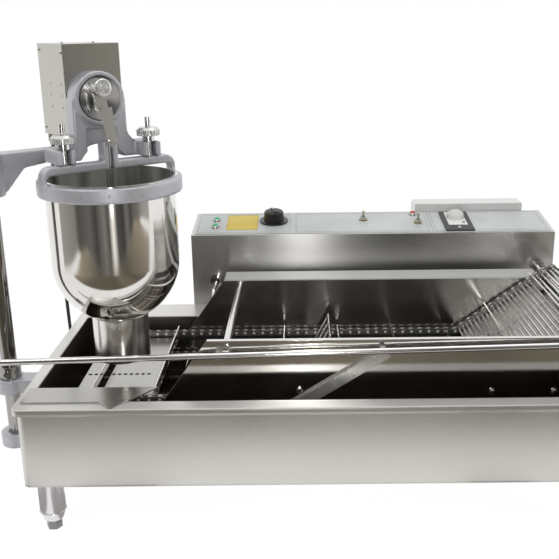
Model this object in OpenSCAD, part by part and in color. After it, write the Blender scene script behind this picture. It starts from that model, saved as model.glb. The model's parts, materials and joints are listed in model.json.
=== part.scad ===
/* [Tank] */
// Length of the tank rim, left to right
tank_len = 850; // [800:1:1000]
// Depth of the tank rim, front to back
tank_depth = 458; // [450:1:540]
// Height of the casing from its floor to the rim
casing_h = 124; // [118:1:160]
// Clear height under the casing
leg_h = 83; // [60:1:110]
// Width of the front rim strip
rim_front = 26; // [20:1:45]
// Width of the back rim strip
rim_back = 67; // [50:1:70]
// Width of the rim strip at each end
rim_side = 17; // [14:1:30]
// Height of the folded lip at the edge of the rim
lip_h = 10; // [6:1:16]
// How far the lip stands out from the panels
lip_out = 5; // [3:0.5:8]
// Radius of the upright corners
corner_r = 10; // [6:1:20]
// Sheet thickness of casing and boxes
sheet = 2; // [1.5:0.1:3]
// Depth of the oil pan below the rim
pan_depth = 108; // [104:1:112]
// Width of the pan's hanging flange
pan_flange = 8; // [5:1:12]
// Outer diameter of the leg tubes
leg_d = 38; // [30:1:45]
// Distance of the leg axes from the panels
leg_inset = 30; // [25:1:50]
// Height of the levelling foot that shows
foot_h = 16; // [12:1:24]
// Size of the foot across its flats
foot_af = 20; // [16:1:26]

/* [Left deck] */
// Distance from the front rim to the back of the front strip
deck_back = 72; // [66:1:76]
// Length of the front strip from the left rim to its slanted end
deck_len = 180; // [150:1:220]
// Thickness of the deck and landing plates
deck_t = 2; // [1.5:0.1:3]
// Drop of the landing plate below the rim
landing_drop = 30; // [26:1:34]
// Width of the landing plate, left to right
landing_w = 128; // [100:1:140]
// Diameter of the drain holes
drain_d = 6.5; // [4:0.5:8]
// Distance between the drain holes
drain_step = 9.5; // [8:0.5:12]

/* [Conveyor] */
// Clear space in the tank behind the channel
channel_back = 14; // [10:1:20]
// Distance from the front rim to the channel
channel_y = 80; // [78:1:85]
// Thickness of the side plates
plate_t = 3; // [2:0.5:5]
// Height of the side plates above the rim
plate_rise = 73; // [60:1:90]
// Depth of the side plates below the rim
plate_drop = 76; // [72:1:80]
// Depth of the shelf behind the back plate
shelf_w = 50; // [30:1:60]
// Chain pitch
pitch = 15.875; // [12.7:0.005:15.875]
// Roller diameter
roller_d = 10.2; // [7:0.1:10.2]
// Width of the chain over its plates
chain_w = 11; // [9:0.5:13]
// Thickness of one link plate
link_t = 1.6; // [1:0.1:2]
// Number of links in the incline
incline_links = 12; // [9:3:12]
// Slope of the incline in degrees
incline = 36; // [30:1:38]
// Depth of the chain line below the rim
run_drop = 25; // [20:1:28]
// Distance from the left rim to the idler axis
idler_in = 84; // [76:1:92]
// Number of teeth on the sprockets
teeth = 8; // [8:4:8]
// Links between two pusher flights
flight_links = 6; // [6:6:12]
// Height of the pusher flights
flight_h = 16; // [12:1:18]
// Thickness of the pusher flights
flight_t = 2; // [1.5:0.1:3]
// Diameter of the belt rods on the incline
rod_d = 4.2; // [3:0.1:4.5]
// Diameter of the drive shaft
shaft_d = 16; // [12:0.5:18]
// Diameter of the idler and flipper pins
pin_d = 10; // [8:0.5:12]
// Diameter of the tie bars
tie_d = 12; // [8:0.5:14]
// Diameter of the lift bar
lift_d = 9.5; // [8:0.5:12]
// Length of the lift bar
lift_len = 835; // [700:1:860]
// Height of the brace bar strap
brace_h = 17; // [14:1:24]

/* [Control box] */
// Length of the control box
box_len = 679; // [640:1:720]
// Depth of the control box
box_depth = 120; // [110:1:150]
// Height of its front face above the rim
box_rise = 135; // [120:1:160]
// Height gained by the sloping top towards the back
box_slope = 15; // [5:1:25]
// Depth of the box below the rim
box_drop = 60; // [40:1:70]
// How far the box reaches past the right rim
box_over = 33; // [25:1:50]
// Thickness of the panel overlay
overlay_t = 1.2; // [0.8:0.1:2]
// Depth of the motor cover behind the box
cover_depth = 60; // [40:1:90]
// Length of the motor cover
cover_len = 213; // [180:1:240]
// Diameter of the thermostat dial skirt
dial_d = 54; // [44:1:60]
// Diameter of the thermostat knob
knob_d = 39; // [30:1:42]
// Diameter of the speed knob
speed_d = 33; // [26:1:36]
// Diameter of the knob spindles
spindle_d = 6; // [5:0.5:7]

/* [Depositor head] */
// Distance from the tank's left rim to the column axis
column_out = 46; // [44:1:60]
// Distance from the front rim to the column axis
column_y = 145; // [140:1:160]
// Diameter of the column
column_d = 24; // [20:0.5:28]
// Height of the arm's lower face above the rim
arm_rise = 275; // [275:1:300]
// Turn of the head about the column in degrees
head_turn = 38; // [36:1:40]
// Distance from the column to the hopper axis along the arm
arm_len = 154; // [150:1:165]
// Distance from the arm's axis to the hopper axis
hopper_fwd = 82; // [80:1:88]
// Height of the crank axis above the rim
crank_rise = 411; // [408:1:424]
// Diameter of the round housing
housing_d = 78; // [74:1:84]
// Diameter of the crank disc
disc_d = 62; // [56:1:64]
// Distance from the crank axis to the crank pin
crank_r = 19; // [15:0.5:19]
// Turn of the crank pin from its top position in degrees
crank_turn = 27; // [20:1:30]
// Distance between the ends of the link
link_len = 76; // [74:1:80]
// Width, depth and height of the motor box
motor_w = 90; // [80:1:96]
motor_depth = 91; // [70:1:100]
motor_h = 135; // [110:1:150]
// Outer diameter of the hopper
hopper_d = 192; // [180:1:198]
// Wall of the hopper
hopper_t = 2; // [1.5:0.1:3]
// Height of the hopper rim above the tank rim
hopper_rise = 297; // [290:1:300]
// Height of the straight part of the hopper
hopper_straight = 127; // [110:1:135]
// Diameter and wall of the outlet tube
outlet_d = 86; // [80:1:90]
outlet_t = 4; // [3:0.5:6]
// Height of the outlet's mouth above the rim
outlet_rise = 13; // [11:1:20]
// Width and height of the ring's band
ring_t = 10; // [8:0.5:12]
ring_h = 21; // [16:1:24]
// Distance between the two studs
stud_gap = 136; // [130:1:142]
// Diameter of the studs
stud_d = 8.5; // [7:0.5:10]
// Diameter and height of the thumb nuts
nut_d = 35; // [30:1:38]
nut_h = 12; // [10:1:16]
// Diameter of the plunger rod
plunger_d = 10; // [8:0.5:12]

/* [Fits] */
// Radial clearance of running fits
run_fit = 0.05; // [0.02:0.01:0.1]
// Clearance between faces that pass each other
pass_gap = 0.4; // [0.3:0.1:1]

/* [Hidden] */
$fn = 64;
rim_z = leg_h + casing_h;
tank_x0 = -tank_len / 2;
tank_x1 = tank_len / 2;
win_x0 = tank_x0 + rim_side;
win_len = tank_len - 2 * rim_side;
win_depth = tank_depth - rim_front - rim_back;
pan_z = rim_z - pan_depth;

// Conveyor, as wide and as long as the tank leaves room for
channel_w = tank_depth - channel_y - rim_back - channel_back;
level_room = tank_len - 255;
level_links = 3 * floor(level_room / (3 * pitch)) + 2;
front_in = channel_y;
back_in = channel_y + channel_w;
sprocket_r = pitch / (2 * sin(180 / teeth));
idler_x = tank_x0 + idler_in;
run_z = rim_z - run_drop;
idler_z = run_z - sprocket_r;
bend_x = idler_x + level_links * pitch;
top_x = bend_x + incline_links * pitch * cos(incline);
top_z = run_z + incline_links * pitch * sin(incline);
drive_x = top_x + sprocket_r * sin(incline);
drive_z = top_z - sprocket_r * cos(incline);
corner_shift = 2 * sprocket_r * tan(incline / 2);
wrap_links = teeth / 2;
side_links = level_links + incline_links;
loop_links = 2 * side_links + 2 * wrap_links;
chain_gap = 3;
front_chain_y = front_in + chain_gap + chain_w / 2;
back_chain_y = back_in - chain_gap - chain_w / 2;
bush_r = shaft_d / 2 + 4;
ear_r = bush_r + 10;
plate_end_x = drive_x + ear_r + 15;
plate_top = rim_z + plate_rise;
plate_low = rim_z - plate_drop;
plate_left_top = idler_x + 187;
plate_left_low = idler_x + 114;
tongue_x = idler_x - 16;
tongue_top = run_z - 4;
flipper_x = idler_x + 21.5 * pitch;
flipper_z = idler_z;
finger_len = 66;
link_eye = 6.4;
sprocket_tip = sprocket_r + 2.6;
landing_x1 = idler_x + 102;
landing_x0 = landing_x1 - landing_w;

// Control box
box_x1 = tank_x1 + box_over;
box_x0 = box_x1 - box_len;
box_y = tank_depth;
box_back = box_y + box_depth;
slope_a = atan(box_slope / box_depth);
cover_x1 = box_x1 - 34;
spindle_h = 12;

// Depositor head
column_x = tank_x0 - column_out;
boss_r = column_d / 2 + 12;
bracket_t = 23;
upper_bracket_z = rim_z - lip_h - bracket_t;
lower_bracket_z = leg_h;
arm_z = rim_z + arm_rise;
arm_h = 62;
arm_w = 28;
crank_z = rim_z + crank_rise;
yoke_back = -40;
yoke_t = 26;
yoke_front = yoke_back - yoke_t;
housing_front = yoke_front - 4;
disc_t = 10;
pin_len = 30;
pin_x = -crank_r * sin(crank_turn);
pin_z = crank_r * cos(crank_turn);
eye_z = crank_z + pin_z - sqrt(link_len * link_len - pin_x * pin_x);
link_lean = asin(-pin_x / link_len);
hopper_top = rim_z + hopper_rise;
hopper_r = hopper_d / 2;
hopper_mid = hopper_top - hopper_straight;
outlet_r = outlet_d / 2;
outlet_top = hopper_mid - sqrt(hopper_r * hopper_r - outlet_r * outlet_r);
outlet_low = rim_z + outlet_rise;
ring_in = hopper_r + 0.5;
ring_out = ring_in + ring_t;
bar_low = hopper_top + 12;
bar_h = 13;
bar_w = 20;
bar_top = bar_low + bar_h;
lug_low = bar_top + pass_gap;
lug_top = lug_low + 22;
lug_slot = stud_d + 3;
guide_w = 22;
collar_h = 8;
nut_z = lug_top + collar_h;
piston_low = outlet_low + crank_r * (1 + cos(crank_turn)) + 1;

// The whole stands centred on its box
reach_x0 = column_x - boss_r;
reach_x1 = plate_end_x;
frame_x = -(reach_x0 + reach_x1) / 2;
frame_y = -(box_back + cover_depth) / 2;

// Lead of the head motor, from the gland under the motor box to the control box
motor_low = crank_z - 58;
gland_h = 12;
motor_x = arm_len - motor_w / 2 + 5;
gland_x = 6;
gland_y = 80.6;
function on_head(x, y) = [column_x + x * cos(head_turn) - y * sin(head_turn),
    column_y + x * sin(head_turn) + y * cos(head_turn)];
lead_d = 6;
lead_sides = 8;
lead_start = concat(on_head(motor_x + gland_x, yoke_back + gland_y), motor_low - gland_h);
lead_at_head = [[69.5, 107, 329], [67, 115, 316], [60, 130, 302], [52, 148, 286], [44, 170, 262],
    [37, 195, 220], [31, 217, 163], [30, 231, 98]];
lead_at_box = [[-221, -74, 28], [-222, -64, -32], [-223, -44, -82], [-219, -16, -110], [-205, 14, -120],
    [-181, 37, -114], [-153, 51, -95], [-125, 58, -75], [-95, 61, -58], [-65, 62, -46], [-41, 62, -40],
    [-25, 62, -37]];
lead_route = concat([lead_start], [for (p = lead_at_head) p + [column_x, column_y, rim_z]],
    [for (p = lead_at_box) p + [box_x0, box_y, rim_z]]);

// Shapes used by several pieces
module place() { translate([frame_x, frame_y, 0]) children(); }

module rounded(w, d, r) {
    square([w - 2 * r, d], center = true);
    square([w, d - 2 * r], center = true);
    for (sx = [-1, 1], sy = [-1, 1])
        translate([sx * (w / 2 - r), sy * (d / 2 - r)]) circle(r);
}

// Slab of an outline drawn in X and Z, from y = 0 backwards
module slab(t) { translate([0, t, 0]) rotate([90, 0, 0]) linear_extrude(t) children(); }

module along_x(len, d) { rotate([0, 90, 0]) cylinder(h = len, d = d); }

module along_y(len, d) { rotate([-90, 0, 0]) cylinder(h = len, d = d); }

module ring(h, d_out, d_in) {
    difference() {
        cylinder(h = h, d = d_out);
        translate([0, 0, -1]) cylinder(h = h + 2, d = d_in);
    }
}

// Tank
module tank_casing() {
    panel_len = tank_len - 2 * lip_out;
    panel_depth = tank_depth - 2 * lip_out;
    color("gainsboro") place() difference() {
        union() {
            translate([0, tank_depth / 2, rim_z - lip_h])
                linear_extrude(lip_h) rounded(tank_len, tank_depth, corner_r);
            translate([0, tank_depth / 2, leg_h])
                linear_extrude(casing_h - lip_h / 2) rounded(panel_len, panel_depth, corner_r);
        }
        translate([0, tank_depth / 2, leg_h + sheet])
            linear_extrude(casing_h - 2 * sheet)
                rounded(panel_len - 2 * sheet, panel_depth - 2 * sheet, corner_r - sheet);
        translate([win_x0, rim_front, rim_z - 2 * sheet]) cube([win_len, win_depth, 3 * sheet]);
    }
}

module oil_pan() {
    top = rim_z - sheet;
    grow = sheet + pan_flange;
    color("dimgray") place() difference() {
        union() {
            translate([win_x0 - sheet, rim_front - sheet, pan_z])
                cube([win_len + 2 * sheet, win_depth + 2 * sheet, top - pan_z]);
            translate([win_x0 - min(grow, rim_side - lip_out - sheet - 1), rim_front - grow, top - sheet])
                cube([win_len + 2 * min(grow, rim_side - lip_out - sheet - 1), win_depth + 2 * grow, sheet]);
        }
        translate([win_x0, rim_front, pan_z + sheet]) cube([win_len, win_depth, pan_depth]);
    }
}

module deck_plate() {
    x0 = win_x0 - rim_side / 2;
    x1 = win_x0 + deck_len;
    ear = 54;
    tip_y = 2;
    color("silver") place() translate([0, 0, rim_z]) linear_extrude(deck_t)
        polygon([[x0, rim_front - 4], [x1 - ear - 24, rim_front - 4], [x1 - ear - 6, tip_y],
            [x1 - ear, tip_y], [x1, deck_back], [x0, deck_back]]);
}

module landing_plate() {
    z = rim_z - landing_drop - deck_t;
    slot_x = landing_x0 + 30;
    slot_w = 11;
    row_y = column_y + 50;
    in_y0 = front_chain_y + chain_w;
    in_y1 = back_chain_y - chain_w;
    tab_x = idler_x + sprocket_tip + 6;
    tab_z = run_z - link_eye - 2.5 - deck_t;
    flange_h = 6;
    color("silver") place() difference() {
        union() {
            translate([landing_x0, in_y0, z]) cube([landing_w, in_y1 - in_y0, deck_t]);
            for (y = [in_y0, in_y1 - deck_t])
                translate([tab_x, y, tab_z]) cube([landing_x1 - tab_x, deck_t, z + deck_t - tab_z]);
            for (y = [front_in, in_y1 - deck_t])
                translate([tab_x, y, tab_z]) cube([landing_x1 - tab_x, in_y0 - front_in + deck_t, deck_t]);
            for (back = [0, 1])
                translate([landing_x1 - deck_t - 6 * back, in_y0, z])
                    cube([deck_t, in_y1 - in_y0, flange_h]);
        }
        translate([slot_x, in_y0 - 1, z - 1]) cube([slot_w, row_y + 46 - in_y0, deck_t + 2]);
        for (x = [landing_x0 + 7 : drain_step : landing_x1 - 2 * drain_step])
            if (abs(x - slot_x - slot_w / 2) > (slot_w + drain_d) / 2 + 0.5)
                translate([x, row_y, z - 1]) cylinder(h = deck_t + 2, d = drain_d);
    }
}

module at_leg(right, back) {
    x = tank_len / 2 - lip_out - leg_inset;
    y0 = lip_out + leg_inset;
    place() translate([right ? x : -x, back ? tank_depth - y0 : y0, 0]) children();
}

module leg() {
    bevel = 14;
    stem_d = foot_af / 2;
    difference() {
        union() {
            translate([0, 0, foot_h]) cylinder(h = bevel, d1 = leg_d - 9, d2 = leg_d);
            translate([0, 0, foot_h + bevel]) cylinder(h = leg_h - foot_h - bevel, d = leg_d);
        }
        translate([0, 0, foot_h - 1]) cylinder(h = leg_h - foot_h - 8, d = stem_d + 2 * run_fit);
    }
}

module legs() {
    color("silver") for (right = [false, true], back = [false, true]) at_leg(right, back) leg();
}

module foot() {
    color("darkgray") union() {
        cylinder(h = foot_h - pass_gap, d = foot_af / cos(30), $fn = 6);
        cylinder(h = leg_h - 14, d = foot_af / 2);
    }
}

module foot_front_left() { at_leg(false, false) foot(); }

module foot_front_right() { at_leg(true, false) foot(); }

module foot_rear_left() { at_leg(false, true) foot(); }

module foot_rear_right() { at_leg(true, true) foot(); }

// Conveyor frame
module plate_outline() {
    right = win_x0 + win_len - 6;
    difference() {
        union() {
            polygon([[plate_left_top, plate_top], [plate_end_x, plate_top], [plate_end_x, rim_z],
                [right, rim_z], [right, plate_low], [tongue_x, plate_low], [tongue_x, tongue_top],
                [plate_left_low, tongue_top]]);
            translate([drive_x, drive_z]) circle(ear_r);
        }
        translate([drive_x, drive_z]) circle(bush_r + run_fit);
        translate([flipper_x, flipper_z]) circle(pin_d / 2 + run_fit);
    }
}

module idler_pin(y, len) { translate([idler_x, y, idler_z]) along_y(len, pin_d); }

module front_side_plate() {
    flange = 5;
    color("silver") place() union() {
        translate([0, front_in - plate_t, 0]) slab(plate_t) plate_outline();
        translate([plate_left_top, front_in - plate_t - flange, plate_top - sheet])
            cube([drive_x - ear_r - 4 - plate_left_top, flange + 1, sheet]);
        idler_pin(front_in - 1, chain_gap + chain_w + 1);
    }
}

module back_side_plate() {
    color("silver") place() union() {
        translate([0, back_in, 0]) slab(plate_t) plate_outline();
        difference() {
            translate([plate_left_top, back_in, plate_top - plate_t])
                cube([plate_end_x - plate_left_top, shelf_w, plate_t]);
            translate([drive_x - bush_r - 6, back_in - 1, plate_top - 2 * plate_t])
                cube([2 * bush_r + 12, shelf_w + 2, 3 * plate_t]);
        }
        idler_pin(back_in - chain_gap - chain_w, chain_gap + chain_w + 1);
    }
}

module tie_bars() {
    drop = 14;
    color("gainsboro") place() {
        translate([plate_left_top + 27, front_in, plate_top - drop]) along_y(channel_w, tie_d);
        translate([plate_end_x - drop, front_in, rim_z + drop]) along_y(channel_w, tie_d);
    }
}

// Lift bar along the front plate, rising to the right
lift_y = channel_y - 15;
lift_x0 = column_x + 13;
lift_rise = 46;
lift_lean = 1.2;
brace_gap = 4;
brace_y = channel_y - plate_t - brace_gap - plate_t;

module on_lift_bar() {
    place() translate([lift_x0, lift_y, rim_z + lift_rise]) rotate([0, -lift_lean, 0]) children();
}

module lift_bar() { color("gainsboro") on_lift_bar() along_x(lift_len, lift_d); }

module lift_bar_clips() {
    clip_w = 7;
    clip_h = lift_d + 4;
    front = -1;
    seats = [[plate_left_top + 17, channel_y - plate_t], [plate_left_top + 256, brace_y]];
    color("silver") on_lift_bar() for (seat = seats) translate([seat[0] - lift_x0, 0, 0]) difference() {
        translate([-clip_w / 2, -front, -clip_h / 2]) cube([clip_w, front + seat[1] - lift_y, clip_h]);
        translate([-clip_w, 0, 0]) along_x(2 * clip_w, lift_d + 2 * run_fit);
    }
}

module brace_bar() {
    slope = 32;
    len = 215;
    bolt_d = 9;
    color("silver") place() translate([plate_left_top + 259, brace_y, rim_z + 60.5]) rotate([0, -slope, 0])
        union() {
            translate([-len, 0, -brace_h]) cube([len, plate_t, brace_h]);
            translate([-len, 0, -plate_t]) cube([len, plate_t + brace_gap, plate_t]);
            for (x = [-len + 22, -22])
                translate([x, -2, -brace_h / 2]) along_y(plate_t + brace_gap + 2, bolt_d);
        }
}

// Chain loop: points at whole links, counted clockwise from above the idler
function on_circle(x, z, a) = [x + sprocket_r * cos(a), z + sprocket_r * sin(a)];
function on_return(s, slope_len) = s < slope_len
    ? [drive_x + sprocket_r * sin(incline) - s * cos(incline),
        drive_z - sprocket_r * cos(incline) - s * sin(incline)]
    : [bend_x + corner_shift - (s - slope_len), idler_z - sprocket_r];
function pin_at(i) =
    i <= level_links ? [idler_x + i * pitch, run_z] :
    i <= side_links ? [bend_x + (i - level_links) * pitch * cos(incline),
        run_z + (i - level_links) * pitch * sin(incline)] :
    i <= side_links + wrap_links
        ? on_circle(drive_x, drive_z, 90 + incline - (i - side_links) * 360 / teeth) :
    i <= 2 * side_links + wrap_links
        ? on_return((i - side_links - wrap_links) * pitch, incline_links * pitch - corner_shift) :
    on_circle(idler_x, idler_z, -90 - (i - 2 * side_links - wrap_links) * 360 / teeth);
function heading(i) = let (d = pin_at(i + 1) - pin_at(i)) atan2(d[1], d[0]);

module link_plates() {
    waist = 9;
    for (i = [0 : loop_links - 1]) {
        translate(pin_at(i)) circle(link_eye);
        translate(pin_at(i)) rotate(heading(i)) translate([0, -waist / 2]) square([pitch, waist]);
    }
}

// The sprockets' own teeth fill the links that lie on them, so they turn freely in the loop
function off_wheel(i, x, z) = norm(pin_at(i) - [x, z]) > sprocket_tip + roller_d / 2 + pass_gap;
function has_roller(i) = off_wheel(i, drive_x, drive_z) && off_wheel(i, idler_x, idler_z);

module chain(y) {
    color("gray") place() translate([0, y - chain_w / 2, 0]) union() {
        slab(link_t) link_plates();
        translate([0, chain_w - link_t, 0]) slab(link_t) link_plates();
        for (i = [0 : loop_links - 1]) if (has_roller(i))
            translate([pin_at(i)[0], link_t / 2, pin_at(i)[1]]) along_y(chain_w - link_t, roller_d);
    }
}

module front_chain() { chain(front_chain_y); }

module back_chain() { chain(back_chain_y); }

// Middle of the link after point i, turned to the run of the chain
module at_link(i) {
    mid = (pin_at(i) + pin_at(i + 1)) / 2;
    translate([mid[0], 0, mid[1]]) rotate([0, -heading(i), 0]) children();
}

belt_y0 = front_chain_y + chain_w / 2;
belt_y1 = back_chain_y - chain_w / 2;

module flights() {
    color("white") place() for (i = [0 : flight_links : loop_links - 1])
        at_link(i) translate([-flight_t / 2, belt_y0, 0]) cube([flight_t, belt_y1 - belt_y0, flight_h]);
}

module incline_rods() {
    color("lightgray") place() for (i = [level_links : side_links + wrap_links - 2], half = [0, 1])
        if (half == 1 || i % flight_links != 0)
            at_link(i) translate([half * pitch / 2, belt_y0, 0]) along_y(belt_y1 - belt_y0, rod_d);
}

module chain_rails() {
    depth = 5;
    drop = link_eye + pass_gap;
    start = landing_x1 + 4;
    slope_len = incline_links * pitch - sprocket_r - 14;
    color("black") place() for (y = [front_in, back_in - chain_gap - chain_w])
        translate([0, y, 0]) slab(chain_gap + chain_w) {
            polygon([[start, run_z - drop], [bend_x, run_z - drop],
                [bend_x + depth, run_z - drop - depth], [start, run_z - drop - depth]]);
            translate([bend_x, run_z]) rotate(incline)
                translate([2, -drop - depth]) square([slope_len, depth]);
        }
}

module incline_tray() {
    drop = link_eye + pass_gap + 3;
    slope_len = incline_links * pitch - sprocket_r - 18;
    color("gainsboro") place() translate([0, belt_y0, 0]) slab(belt_y1 - belt_y0)
        translate([bend_x, run_z]) rotate(incline) translate([6, -drop]) square([slope_len, deck_t]);
}

// Shafts
module sprocket(turn) {
    seat_r = roller_d / 2 + pass_gap;
    slab(chain_w - 2 * link_t - 3) rotate(turn) difference() {
        circle(sprocket_tip);
        for (k = [0 : teeth - 1]) rotate(k * 360 / teeth) translate([sprocket_r, 0]) circle(seat_r);
    }
}

sprocket_y = chain_w / 2 - link_t - 1.5;

module shaft_bushes() {
    flange_t = 4;
    flange_r = bush_r + 4;
    bore = shaft_d + 2 * run_fit;
    color("gray") place() translate([drive_x, 0, drive_z]) {
        translate([0, front_in, 0]) rotate([90, 0, 0]) {
            ring(plate_t, 2 * bush_r, bore);
            translate([0, 0, plate_t]) ring(flange_t, 2 * flange_r, bore);
        }
        translate([0, back_in, 0]) rotate([-90, 0, 0]) {
            ring(plate_t, 2 * bush_r, bore);
            translate([0, 0, plate_t]) ring(flange_t, 2 * flange_r, bore);
        }
        translate([0, box_y, 0]) rotate([90, 0, 0]) ring(8, shaft_d + 8, bore);
    }
}

module drive_shaft() {
    start = front_in - plate_t - 12;
    reach = box_y + sheet + 30;
    roller_r = sprocket_r - 6.5;
    color("gainsboro") place() translate([drive_x, 0, drive_z]) union() {
        translate([0, start, 0]) along_y(reach - start, shaft_d);
        translate([0, belt_y0 + 2, 0]) along_y(belt_y1 - belt_y0 - 4, 2 * roller_r);
        for (y = [front_chain_y, back_chain_y])
            translate([0, y - sprocket_y, 0]) sprocket(90 + incline);
    }
}

module idler_sprockets() {
    color("gray") place() translate([idler_x, 0, idler_z]) for (y = [front_chain_y, back_chain_y])
        translate([0, y - sprocket_y, 0]) difference() {
            sprocket(90);
            translate([0, -1, 0]) along_y(chain_w, pin_d + 2 * run_fit);
        }
}

module flipper() {
    fingers = 8;
    margin = 16;
    lean = 62;
    step = (belt_y1 - belt_y0 - 2 * margin) / (fingers - 1);
    color("silver") place() translate([flipper_x, 0, flipper_z]) union() {
        translate([0, front_in - plate_t, 0]) along_y(channel_w + 2 * plate_t, pin_d);
        for (k = [0 : fingers - 1])
            translate([0, belt_y0 + margin + k * step, 0]) rotate([0, 90 - lean, 0])
                cylinder(h = finger_len, d = rod_d);
        translate([finger_len * cos(lean), belt_y0 + margin - rod_d, finger_len * sin(lean)])
            along_y(belt_y1 - belt_y0 - 2 * margin + 2 * rod_d, rod_d + 1);
    }
}

// Heating and its control
module heating_element() {
    tube_d = 9;
    runs = 4;
    y0 = channel_y + 40;
    y1 = channel_y + channel_w - 47;
    gap = (y1 - y0) / (runs - 1);
    x0 = idler_x + 40;
    x1 = win_x0 + win_len - 70;
    color("dimgray") place() translate([0, y0, pan_z + sheet + 10]) union() {
        for (k = [0 : runs - 1]) {
            left = (k == 0 || k == runs - 1) ? win_x0 : x0;
            translate([left, k * gap, 0]) along_x(x1 - left, tube_d);
        }
        for (k = [0 : runs - 2])
            translate([k % 2 == 0 ? x1 : x0, (k + 0.5) * gap, 0]) rotate([0, 0, k % 2 == 0 ? -90 : 90])
                rotate_extrude(angle = 180) translate([gap / 2, 0]) circle(d = tube_d);
    }
}

probe_x = box_x0 + 45;
probe_z = rim_z + 48;
probe_d = 6;

module thermostat_probe() {
    bend = 18;
    down_y = tank_depth - rim_back - 5;
    low = rim_z - plate_drop - 20;
    color("silver") place() translate([probe_x, 0, 0]) union() {
        translate([0, down_y + bend, probe_z]) along_y(box_y + 12 - down_y - bend, probe_d);
        translate([0, down_y + bend, probe_z - bend]) rotate([90, 0, -90])
            rotate_extrude(angle = 90) translate([bend, 0]) circle(d = probe_d);
        translate([0, down_y, low]) cylinder(h = probe_z - bend - low, d = probe_d);
    }
}

module probe_grommet() {
    color("silver") place() translate([probe_x, box_y, probe_z]) rotate([90, 0, 0])
        ring(6, 26, probe_d + 2 * run_fit);
}

module control_box() {
    low = rim_z - box_drop;
    front = rim_z + box_rise;
    wall_top = sheet / cos(slope_a);
    slope = box_slope / box_depth;
    color("lightgray") place() difference() {
        translate([box_x0, 0, 0]) rotate([90, 0, 90]) linear_extrude(box_len)
            polygon([[box_y, low], [box_back, low], [box_back, front + box_slope], [box_y, front]]);
        translate([box_x0 + sheet, 0, 0]) rotate([90, 0, 90]) linear_extrude(box_len - 2 * sheet)
            polygon([[box_y + sheet, low + sheet], [box_back - sheet, low + sheet],
                [box_back - sheet, front + box_slope - sheet * slope - wall_top],
                [box_y + sheet, front + sheet * slope - wall_top]]);
        translate([drive_x, box_y - 1, drive_z]) along_y(sheet + 2, shaft_d + 4);
        translate([probe_x, box_y - 1, probe_z]) along_y(sheet + 2, probe_d + 2 * run_fit);
    }
}

// Frame of the sloping panel: x along the box, y up the slope, z out of it
module on_panel() {
    place() translate([box_x0, box_y, rim_z + box_rise]) rotate([slope_a, 0, 0]) children();
}

lamp_x = 42;
dial_x = 153;
dial_y = 69;
left_toggle = [326, 72];
right_toggle = [430, 55];
red_place = [425, 100];
speed_x = 504;
speed_y = 72;
speed_t = 3;
speed_low = 16;
bush_h = 8;
pivot_h = 5;

module panel_overlay() {
    edge = 5;
    joint = 1;
    cuts = [edge, 190, 453, box_len - edge];
    color("lightsteelblue") on_panel() for (k = [0 : 2])
        translate([cuts[k] + joint, edge, 0])
            cube([cuts[k + 1] - cuts[k] - 2 * joint, box_depth - 2 * edge, overlay_t]);
}

module panel_hardware() {
    color("silver") on_panel() translate([0, 0, overlay_t]) {
        for (p = [[lamp_x, 40], [lamp_x, 76], red_place]) translate(p) ring(4, 15, 10);
        for (p = [left_toggle, right_toggle]) translate(p) ring(bush_h, 12, 7.2);
    }
}

module lamp_lens(h) { rotate_extrude() intersection() {
        translate([0, h - 12]) circle(12);
        square([4.9, h]);
    } }

module green_lamps() {
    color("green") on_panel() for (y = [40, 76]) translate([lamp_x, y, overlay_t]) lamp_lens(7);
}

module red_lamp() {
    color("red") on_panel() translate([red_place[0], red_place[1], overlay_t]) lamp_lens(7);
}

module control_spindles() {
    color("gray") on_panel() {
        translate([dial_x, dial_y, overlay_t]) cylinder(h = spindle_h, d = spindle_d);
        translate([speed_x, speed_y, overlay_t]) cylinder(h = speed_t + spindle_h, d = spindle_d);
    }
}

module thermostat_knob() {
    knob_h = 18;
    skirt_h = 3;
    top = skirt_h + knob_h;
    knob_r = knob_d / 2;
    color("black") on_panel() translate([dial_x, dial_y, overlay_t + pass_gap]) difference() {
        rotate_extrude() polygon([[0, 0], [dial_d / 2, 0], [dial_d / 2, skirt_h], [knob_r, skirt_h],
            [knob_r - 1, top - 2], [knob_r - 3, top], [0, top]]);
        translate([0, 0, -1]) cylinder(h = spindle_h + 1, d = spindle_d + 2 * run_fit);
        for (k = [0 : 11]) rotate(k * 30) translate([knob_r + 1.2, 0, skirt_h + 1.5])
            cylinder(h = knob_h, d = 5);
    }
}

module toggle(p) {
    lean = 12;
    color("silver") on_panel() translate([p[0], p[1], overlay_t + pivot_h]) rotate([lean, 0, 0]) union() {
        sphere(d = 6);
        translate([-2.7, 0, 0]) along_x(5.4, 3.6);
        cylinder(h = 13, d1 = 3.6, d2 = 5);
        translate([0, 0, 13]) sphere(d = 5);
    }
}

module toggle_left() { toggle(left_toggle); }

module toggle_right() { toggle(right_toggle); }

module speed_plate() {
    w = 54;
    l = 100;
    color("black") on_panel() translate([speed_x, speed_y - speed_low, overlay_t]) difference() {
        translate([-w / 2, -l / 2, 0]) cube([w, l, speed_t]);
        translate([0, speed_low, -1]) cylinder(h = speed_t + 2, d = spindle_d + 2 * run_fit);
    }
}

module speed_knob() {
    base_h = 7;
    dome_h = 9;
    dome_r = (speed_d * speed_d / 4 + dome_h * dome_h) / (2 * dome_h);
    color("white") on_panel() translate([speed_x, speed_y, overlay_t + speed_t + pass_gap]) difference() {
        rotate_extrude() {
            square([speed_d / 2, base_h]);
            intersection() {
                translate([0, base_h + dome_h - dome_r]) circle(dome_r);
                translate([0, base_h - 0.01]) square([speed_d / 2, dome_h + 1]);
            }
        }
        translate([0, 0, -1]) cylinder(h = spindle_h + 1, d = spindle_d + 2 * run_fit);
    }
}

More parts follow.
